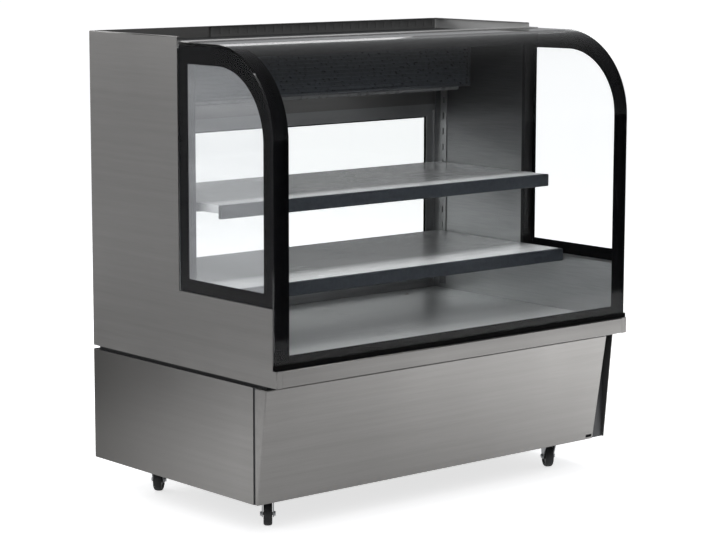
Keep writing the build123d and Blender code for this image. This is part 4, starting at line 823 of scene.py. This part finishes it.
def lathed(profile, place, axis, steps):
    """A turned piece: a profile of (radius, along) spun about an axis through a place."""
    spun = bmesh.new()
    ring = [spun.verts.new((r, 0.0, h)) for r, h in profile]
    edges = [spun.edges.new((ring[i], ring[i + 1])) for i in range(len(ring) - 1)]
    bmesh.ops.spin(
        spun, geom=ring + edges, cent=(0, 0, 0), axis=(0, 0, 1), angle=2 * math.pi, steps=steps,
        use_merge=True,
    )
    bmesh.ops.remove_doubles(spun, verts=spun.verts, dist=1e-6)
    turn_outward(spun)
    for face in spun.faces:
        face.smooth = True
    for edge in spun.edges:
        if len(edge.link_faces) == 2 and edge.calc_face_angle() > math.radians(32):
            edge.smooth = False
    to_axis = Vector((0, 0, 1)).rotation_difference(Vector(axis).normalized()).to_matrix().to_4x4()
    spun.transform(Matrix.Translation(place) @ to_axis)
    return spun


for side, x in (("left", -fan_x), ("right", fan_x)):
    name, place = "fan_guard_" + side, (x, fan_wall_y - 0.028, centre_z)
    guard = grown_mesh(name, guard_tree, guard_sizes, place, math.pi / 2)
    add_piece(name, guard, guard_wire, "housing_paint")
    motor = lathed(
        [(0.0, 0.0), (0.013, 0.0), (0.014, 0.001), (0.014, 0.018), (0.012, 0.020), (0.0029, 0.020),
         (0.0029, 0.045), (0.0, 0.045)],
        (x, fan_wall_y + 0.021, centre_z), (0, -1, 0), 28,
    )
    add_piece("fan_motor_" + side, motor, motor_black, "dark_plastic")

# Coils: stacks of thin aluminium fins on copper tubes between end plates. One hangs behind
# the evaporator fans, one stands on the chassis pan behind the rear louvres.
tree, given, made = node_tree("coil_fins", {"Count": 150, "Pitch": 0.006, "Depth": 0.054, "Height": 0.10})
fin_step = from_node(tree, "ShaderNodeCombineXYZ", {"X": given["Pitch"]})
grid_sizes = {"Vertices X": 2, "Vertices Y": 2, "Size X": given["Height"], "Size Y": given["Depth"]}
fin = from_node(tree, "GeometryNodeMeshGrid", grid_sizes)
stood_up = (0.0, math.pi / 2, 0.0)
fin_up = from_node(tree, "GeometryNodeTransform", {"Geometry": fin, "Rotation": stood_up})
fin_alloy = plain_finish("fin_alloy", (0.42, 0.43, 0.44), (0.52, 0.53, 0.54), (0.3, 0.45), 200.0, 1.0)
close_tree(tree, row_of(tree, fin_up, given["Count"], fin_step), made, fin_alloy)
copper = plain_finish("copper_tube", (0.42, 0.17, 0.09), (0.55, 0.25, 0.14), (0.25, 0.45), 30.0, 1.0)
plate_reach = 0.012
for name, width, pitch, bends, foot, headroom in (
    ("evaporator_coil", 0.900, 0.0064, 2, 0.0, plate_reach),
    ("condenser_coil", 0.320, 0.0032, 3, plate_reach, 0.0),
):
    low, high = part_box(name)
    fins_low, fins_high = low[2] + foot, high[2] - headroom
    middle_x, middle_y = (low[0] + high[0]) / 2, (low[1] + high[1]) / 2
    depth, height = high[1] - low[1], fins_high - fins_low
    count = int((width - 0.008) / pitch)
    sizes = {"Count": count, "Pitch": pitch, "Depth": depth - 0.001, "Height": height}
    first_fin = (middle_x - (count - 1) * pitch / 2, middle_y, (fins_low + fins_high) / 2)
    fins = grown_mesh(name + "_fins", tree, sizes, first_fin)
    thicken(add_piece(name + "_fins", fins, fin_alloy, "coil_metal", name), 0.00035)
    ends = bmesh.new()
    for side in (-1, 1):
        x = middle_x + side * (width / 2 - 0.001)
        corners = oblong(low[1], low[2], high[1], high[2])
        ends.faces.new([ends.verts.new((x, y, z)) for y, z in corners])
    thicken(add_piece(name + "_ends", ends, fin_alloy, "coil_metal"), 0.002, 0.0)
    tubes = bpy.data.curves.new(name + "_tubes", "CURVE")
    tubes.dimensions = "3D"
    tubes.bevel_depth = 0.0046
    tubes.bevel_resolution = 3
    tubes.resolution_u = 8
    tubes.use_fill_caps = True
    bend = height / (2 * bends)
    for row_index in range(bends):
        z = fins_low + (2 * row_index + 1) * bend
        for side in (-1, 1):
            run = tubes.splines.new("BEZIER")
            run.bezier_points.add(2)
            inner = middle_x + side * (width / 2 - 0.002)
            outer = middle_x + side * (width / 2 + bend / 2 - 0.001)
            handle = 0.55 * bend / 2
            for point, place, way in zip(
                run.bezier_points,
                ((inner, middle_y, z - bend / 2), (outer, middle_y, z), (inner, middle_y, z + bend / 2)),
                ((side, 0, 0), (0, 0, 1), (-side, 0, 0)),
            ):
                point.co = place
                point.handle_left = Vector(place) - Vector(way) * handle
                point.handle_right = Vector(place) + Vector(way) * handle
    for z in [fins_low + (i + 0.5) * bend for i in range(2 * bends)]:
        run = tubes.splines.new("POLY")
        run.points.add(1)
        for point, side in zip(run.points, (-1, 1)):
            point.co = (middle_x + side * width / 2, middle_y, z, 1.0)
    tube_object = placed_object(name + "_tube_curve", tubes)
    tube_mesh = bpy.data.meshes.new_from_object(
        tube_object.evaluated_get(bpy.context.evaluated_depsgraph_get())
    )
    bpy.data.objects.remove(tube_object)
    add_piece(name + "_tubes", tube_mesh, copper, "copper_tube")

# Fans: moulded five-blade impellers, two before the evaporator and one behind the condenser's
# shroud.
fan_black = plain_finish("fan_black", (0.014, 0.014, 0.015), (0.024, 0.024, 0.025), (0.35, 0.5), 400.0)
dress(fan_black, "evaporator_fan_left", "evaporator_fan_right", "condenser_fan")

# Condenser fan mount: a pressed shroud with a motor on its arm, and a wire guard over the
# mouth.
shroud_paint = plain_finish("shroud_paint", (0.02, 0.02, 0.021), (0.032, 0.032, 0.034), (0.4, 0.55), 500.0)
add_rounded("condenser_shroud", "condenser_fan_mount", 0.0005, shroud_paint, "frame_paint")
shroud_mouth_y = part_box("condenser_fan_mount")[1][1] - 0.034
coil_low, coil_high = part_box("condenser_coil")
centre = (-0.33, shroud_mouth_y - 0.0025, (coil_low[2] + plate_reach + coil_high[2]) / 2)
sizes = {"Rings": 7, "Inner": 0.034, "Step": 0.0105, "Wire": 0.0012, "Spokes": 6, "Reach": 0.101}
guard = grown_mesh("condenser_guard", guard_tree, sizes, centre, math.pi / 2)
add_piece("condenser_guard", guard, guard_wire, "frame_paint")

# Compressor: a hermetic steel shell, sprayed glossy black, on a foot plate with rubber feet. It
# stands on the chassis pan beside the condenser.
compressor_gloss = plain_finish(
    "compressor_gloss", (0.008, 0.008, 0.008), (0.014, 0.014, 0.014), (0.2, 0.32), 300.0
)
dress(compressor_gloss, "compressor")

# Pipework: drawn copper lines between compressor and coils, with the filter drier and the
# drain from the floor of the well.
dress(copper, "pipework")

# Evaporation pan: a pressed stainless dish for the drain water. It stands in the chassis under
# the drain's end.
dish_steel = steel_finish("dish_steel", "x", (0.40, 0.405, 0.41), (0.48, 0.485, 0.49), (0.28, 0.4))
add_rounded("drain_dish", "evaporation_pan", 0.0005, dish_steel, "shelf_steel")

# Operator's unit: a black moulded bezel with a sunk display window, three round keys with
# moulded marks, and a green lamp rocker.
bezel_black = plain_finish("bezel_black", (0.014, 0.014, 0.015), (0.021, 0.021, 0.022), (0.38, 0.5), 900.0)
add_rounded("unit_bezel", "control_unit", 0.0005, bezel_black, "dark_plastic")
window_smoke = plain_finish(
    "window_smoke", (0.010, 0.004, 0.004), (0.014, 0.006, 0.006), (0.05, 0.09), 30.0, bump=0.0
)
unit_low, unit_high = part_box("control_unit")
unit_front, unit_z, display_x = unit_high[1], (unit_low[2] + unit_high[2]) / 2, 0.4655
window_points = [
    (display_x + dx, unit_front + dy, unit_z + dz)
    for dy in (-0.0002, -0.0009)
    for dx, dz in oblong(-0.0285, -0.0105, 0.0285, 0.0105)
]
window_faces = [(0, 1, 2, 3), (4, 5, 6, 7), (0, 1, 5, 4), (1, 2, 6, 5), (2, 3, 7, 6), (3, 0, 4, 7)]
window = folded_sheet(window_points, window_faces, (display_x, unit_front - 0.0006, unit_z), 0.0002)
add_piece("display_window", window, window_smoke, "dark_plastic")
key_grey = plain_finish("key_grey", (0.30, 0.31, 0.32), (0.34, 0.35, 0.36), (0.35, 0.5), 700.0)
mark_white = plain_finish("mark_white", (0.72, 0.73, 0.74), (0.80, 0.81, 0.82), (0.4, 0.5), 500.0)
dress(key_grey, "button_up", "button_set", "button_down")
for name, marks in (
    ("button_up", ((-0.0022, -0.0014), (0.0022, -0.0014), (0.0, 0.0024))),
    ("button_set", oblong(-0.0018, -0.0018, 0.0018, 0.0018)),
    ("button_down", ((-0.0022, 0.0014), (0.0, -0.0024), (0.0022, 0.0014))),
):
    low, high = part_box(name)
    x, z, face_y = (low[0] + high[0]) / 2, (low[2] + high[2]) / 2, high[1]
    mark = bmesh.new()
    back_ring = [mark.verts.new((x + dx, face_y - 0.0002, z + dz)) for dx, dz in marks]
    front_ring = [mark.verts.new((x + 0.8 * dx, face_y + 0.0003, z + 0.8 * dz)) for dx, dz in marks]
    mark.faces.new(back_ring)
    mark.faces.new(front_ring)
    band(mark, back_ring, front_ring)
    turn_outward(mark)
    add_piece(name + "_mark", mark, mark_white, "light_plastic", body=name)
rocker_green = plain_finish("rocker_green", (0.02, 0.16, 0.04), (0.03, 0.20, 0.05), (0.15, 0.25), 300.0)
add_rounded("rocker_cap", "lamp_rocker", 0.0004, rocker_green, "green_plastic", "lamp_rocker")

# Power inlet: a black moulded socket with three flat pins, let into the control panel. It has
# a flange all round.
add_rounded("inlet_socket", "power_inlet", 0.0003, bezel_black, "dark_plastic")

# Castor plates: zinc-plated pressings bolted under the chassis, each with the kingpin that its
# fork turns on.
zinc = plain_finish("zinc_plate", (0.36, 0.37, 0.385), (0.48, 0.49, 0.505), (0.28, 0.42), 60.0, 1.0)
add_rounded("castor_tops", "castor_plates", 0.0004, zinc, "zinc_plate")

# Castor forks and wheels: zinc-plated pressed forks, and wheels with a black rubber tread on
# a grey moulded centre, turning on a bolted axle.
tread_rubber = plain_finish("tread_rubber", (0.012, 0.012, 0.013), (0.024, 0.024, 0.025), (0.5, 0.7), 250.0)
centre_grey = plain_finish("centre_grey", (0.05, 0.051, 0.053), (0.07, 0.071, 0.074), (0.4, 0.5), 500.0)
axle_radius, wheel_half = 0.00406, 0.011


def both_sides(side, middle=()):
    """A closed wheel profile from the points (radius, inset) of one side and its mirror image."""
    near = [(radius, -wheel_half + inset) for radius, inset in side]
    far = [(radius, wheel_half - inset) for radius, inset in reversed(side)]
    return near + list(middle) + far + near[:1]


tread_side = [
    (0.0222, 0.0012), (0.0238, 0.0), (0.0262, 0.0003), (0.0283, 0.0018), (0.0295, 0.0042), (0.0299, 0.0075),
]
tread_line = both_sides(tread_side, [(0.03, 0.0)])
hub_line = both_sides([
    (axle_radius, 0.0), (0.0078, 0.0), (0.0084, 0.0006), (0.0088, 0.003), (0.0200, 0.0036), (0.0212, 0.0012),
    (0.0221, 0.0011),
])
axle_half = wheel_half + 0.0015 + 0.0025
nut_steps = (
    (0.0, 0.0002), (0.0072, 0.0002), (0.0072, 0.0008), (0.0058, 0.001), (0.0058, 0.0036), (0.0050, 0.0044),
    (0.0, 0.0044),
)
nut_line = [(radius, axle_half + out) for radius, out in nut_steps]
castor_x, castor_front_y, castor_rear_y, trail = 0.490, -0.208, 0.258, 0.018
for corner, x, y, heading_angle, braked in (
    ("front_left", -castor_x, castor_front_y, 38.0, True),
    ("front_right", castor_x, castor_front_y, 30.0, True),
    ("rear_left", -castor_x, castor_rear_y, 48.0, False),
    ("rear_right", castor_x, castor_rear_y, 20.0, False),
):
    way = math.radians(heading_angle)
    hub_place = (x + trail * math.sin(way), y + trail * math.cos(way), 0.030)
    axle = (math.cos(way), -math.sin(way), 0.0)
    fork_name, wheel_name = "castor_fork_" + corner, "castor_wheel_" + corner
    add_rounded("fork_" + corner, fork_name, 0.0006, zinc, "zinc_plate", fork_name)
    for name, line, finish, steps in (
        ("tread_", tread_line, tread_rubber, 48), ("hub_", hub_line, centre_grey, 36),
    ):
        turned = lathed(line, hub_place, axle, steps)
        add_piece(name + corner, turned, finish, "tyre_rubber", wheel_name, body=wheel_name)
    for end, way_out, steps in (("a", 1, 24), ("b", -1, 6)):
        nut = lathed(nut_line, hub_place, [way_out * v for v in axle], steps)
        add_piece("axle_end_" + corner + "_" + end, nut, zinc, "zinc_plate", body=fork_name)
    if braked:
        pedal_name = "brake_pedal_" + corner
        add_rounded("pedal_" + corner, pedal_name, 0.0006, bezel_black, "dark_plastic", pedal_name)

# Screws: pan heads with a hex socket down the rear panels' edges, and flanged bolts that
# hold the castor plates up into the chassis.
screw_sizes = {"Radius": 0.004, "Height": 0.0018, "Socket": 0.0017, "Depth": 0.0009}
tree, given, made = node_tree("screw_heads", screw_sizes)
head_feeds = {
    "Vertices": 24, "Side Segments": 3, "Fill Segments": 7, "Radius": given["Radius"], "Depth": given["Height"],
}
head = from_node(tree, "GeometryNodeMeshCylinder", head_feeds)
spot = tree.nodes.new("GeometryNodeInputPosition").outputs[0]
axes = feed(tree, tree.nodes.new("ShaderNodeSeparateXYZ"), {0: spot}).outputs
flat_spot = from_node(tree, "ShaderNodeCombineXYZ", {"X": axes["X"], "Y": axes["Y"]})
from_axis = from_node(tree, "ShaderNodeVectorMath", {0: flat_spot}, "Value", "LENGTH")
bulge = maths(tree, "POWER", maths(tree, "DIVIDE", from_axis, given["Radius"]), 3.0)
dome_drop = maths(tree, "MULTIPLY", maths(tree, "MULTIPLY", bulge, given["Height"]), -0.55)
in_socket = maths(tree, "LESS_THAN", from_axis, given["Socket"])
socket_drop = maths(tree, "MULTIPLY", in_socket, given["Depth"])
both_drops = maths(tree, "SUBTRACT", dome_drop, socket_drop)
on_top = maths(tree, "GREATER_THAN", axes["Z"], 0.0)
shift = from_node(tree, "ShaderNodeCombineXYZ", {"Z": maths(tree, "MULTIPLY", both_drops, on_top)})
shaped = from_node(tree, "GeometryNodeSetPosition", {"Geometry": head, "Offset": shift})
head_places = {"Points": given["Geometry"], "Instance": shaped}
placed = from_node(tree, "GeometryNodeInstanceOnPoints", head_places)
close_tree(tree, placed, made, zinc)
screw_x, screw_heights, rear_face = 0.574, (0.130, 0.234, 0.338), 0.3755
panel_places = [(side * screw_x, -z, 0.0) for side in (-1, 1) for z in screw_heights]
heads = grown_mesh("panel_screws", tree, screw_sizes, (0, rear_face + 0.0009, 0), -math.pi / 2, panel_places)
add_piece("panel_screws", heads, zinc, "zinc_plate", "screws")
bolt_sizes = {"Radius": 0.0045, "Height": 0.0026, "Socket": 0.0021, "Depth": 0.0013}
bolt_spread, plate_underside = (-0.022, 0.022), 0.087
bolt_places = [
    (cx + dx, -(cy + dy), 0.0)
    for cx in (-castor_x, castor_x) for cy in (castor_front_y, castor_rear_y)
    for dx in bolt_spread for dy in bolt_spread
]
heads = grown_mesh("castor_bolts", tree, bolt_sizes, (0, 0, plate_underside - 0.0013), math.pi, bolt_places)
add_piece("castor_bolts", heads, zinc, "zinc_plate", "screws")
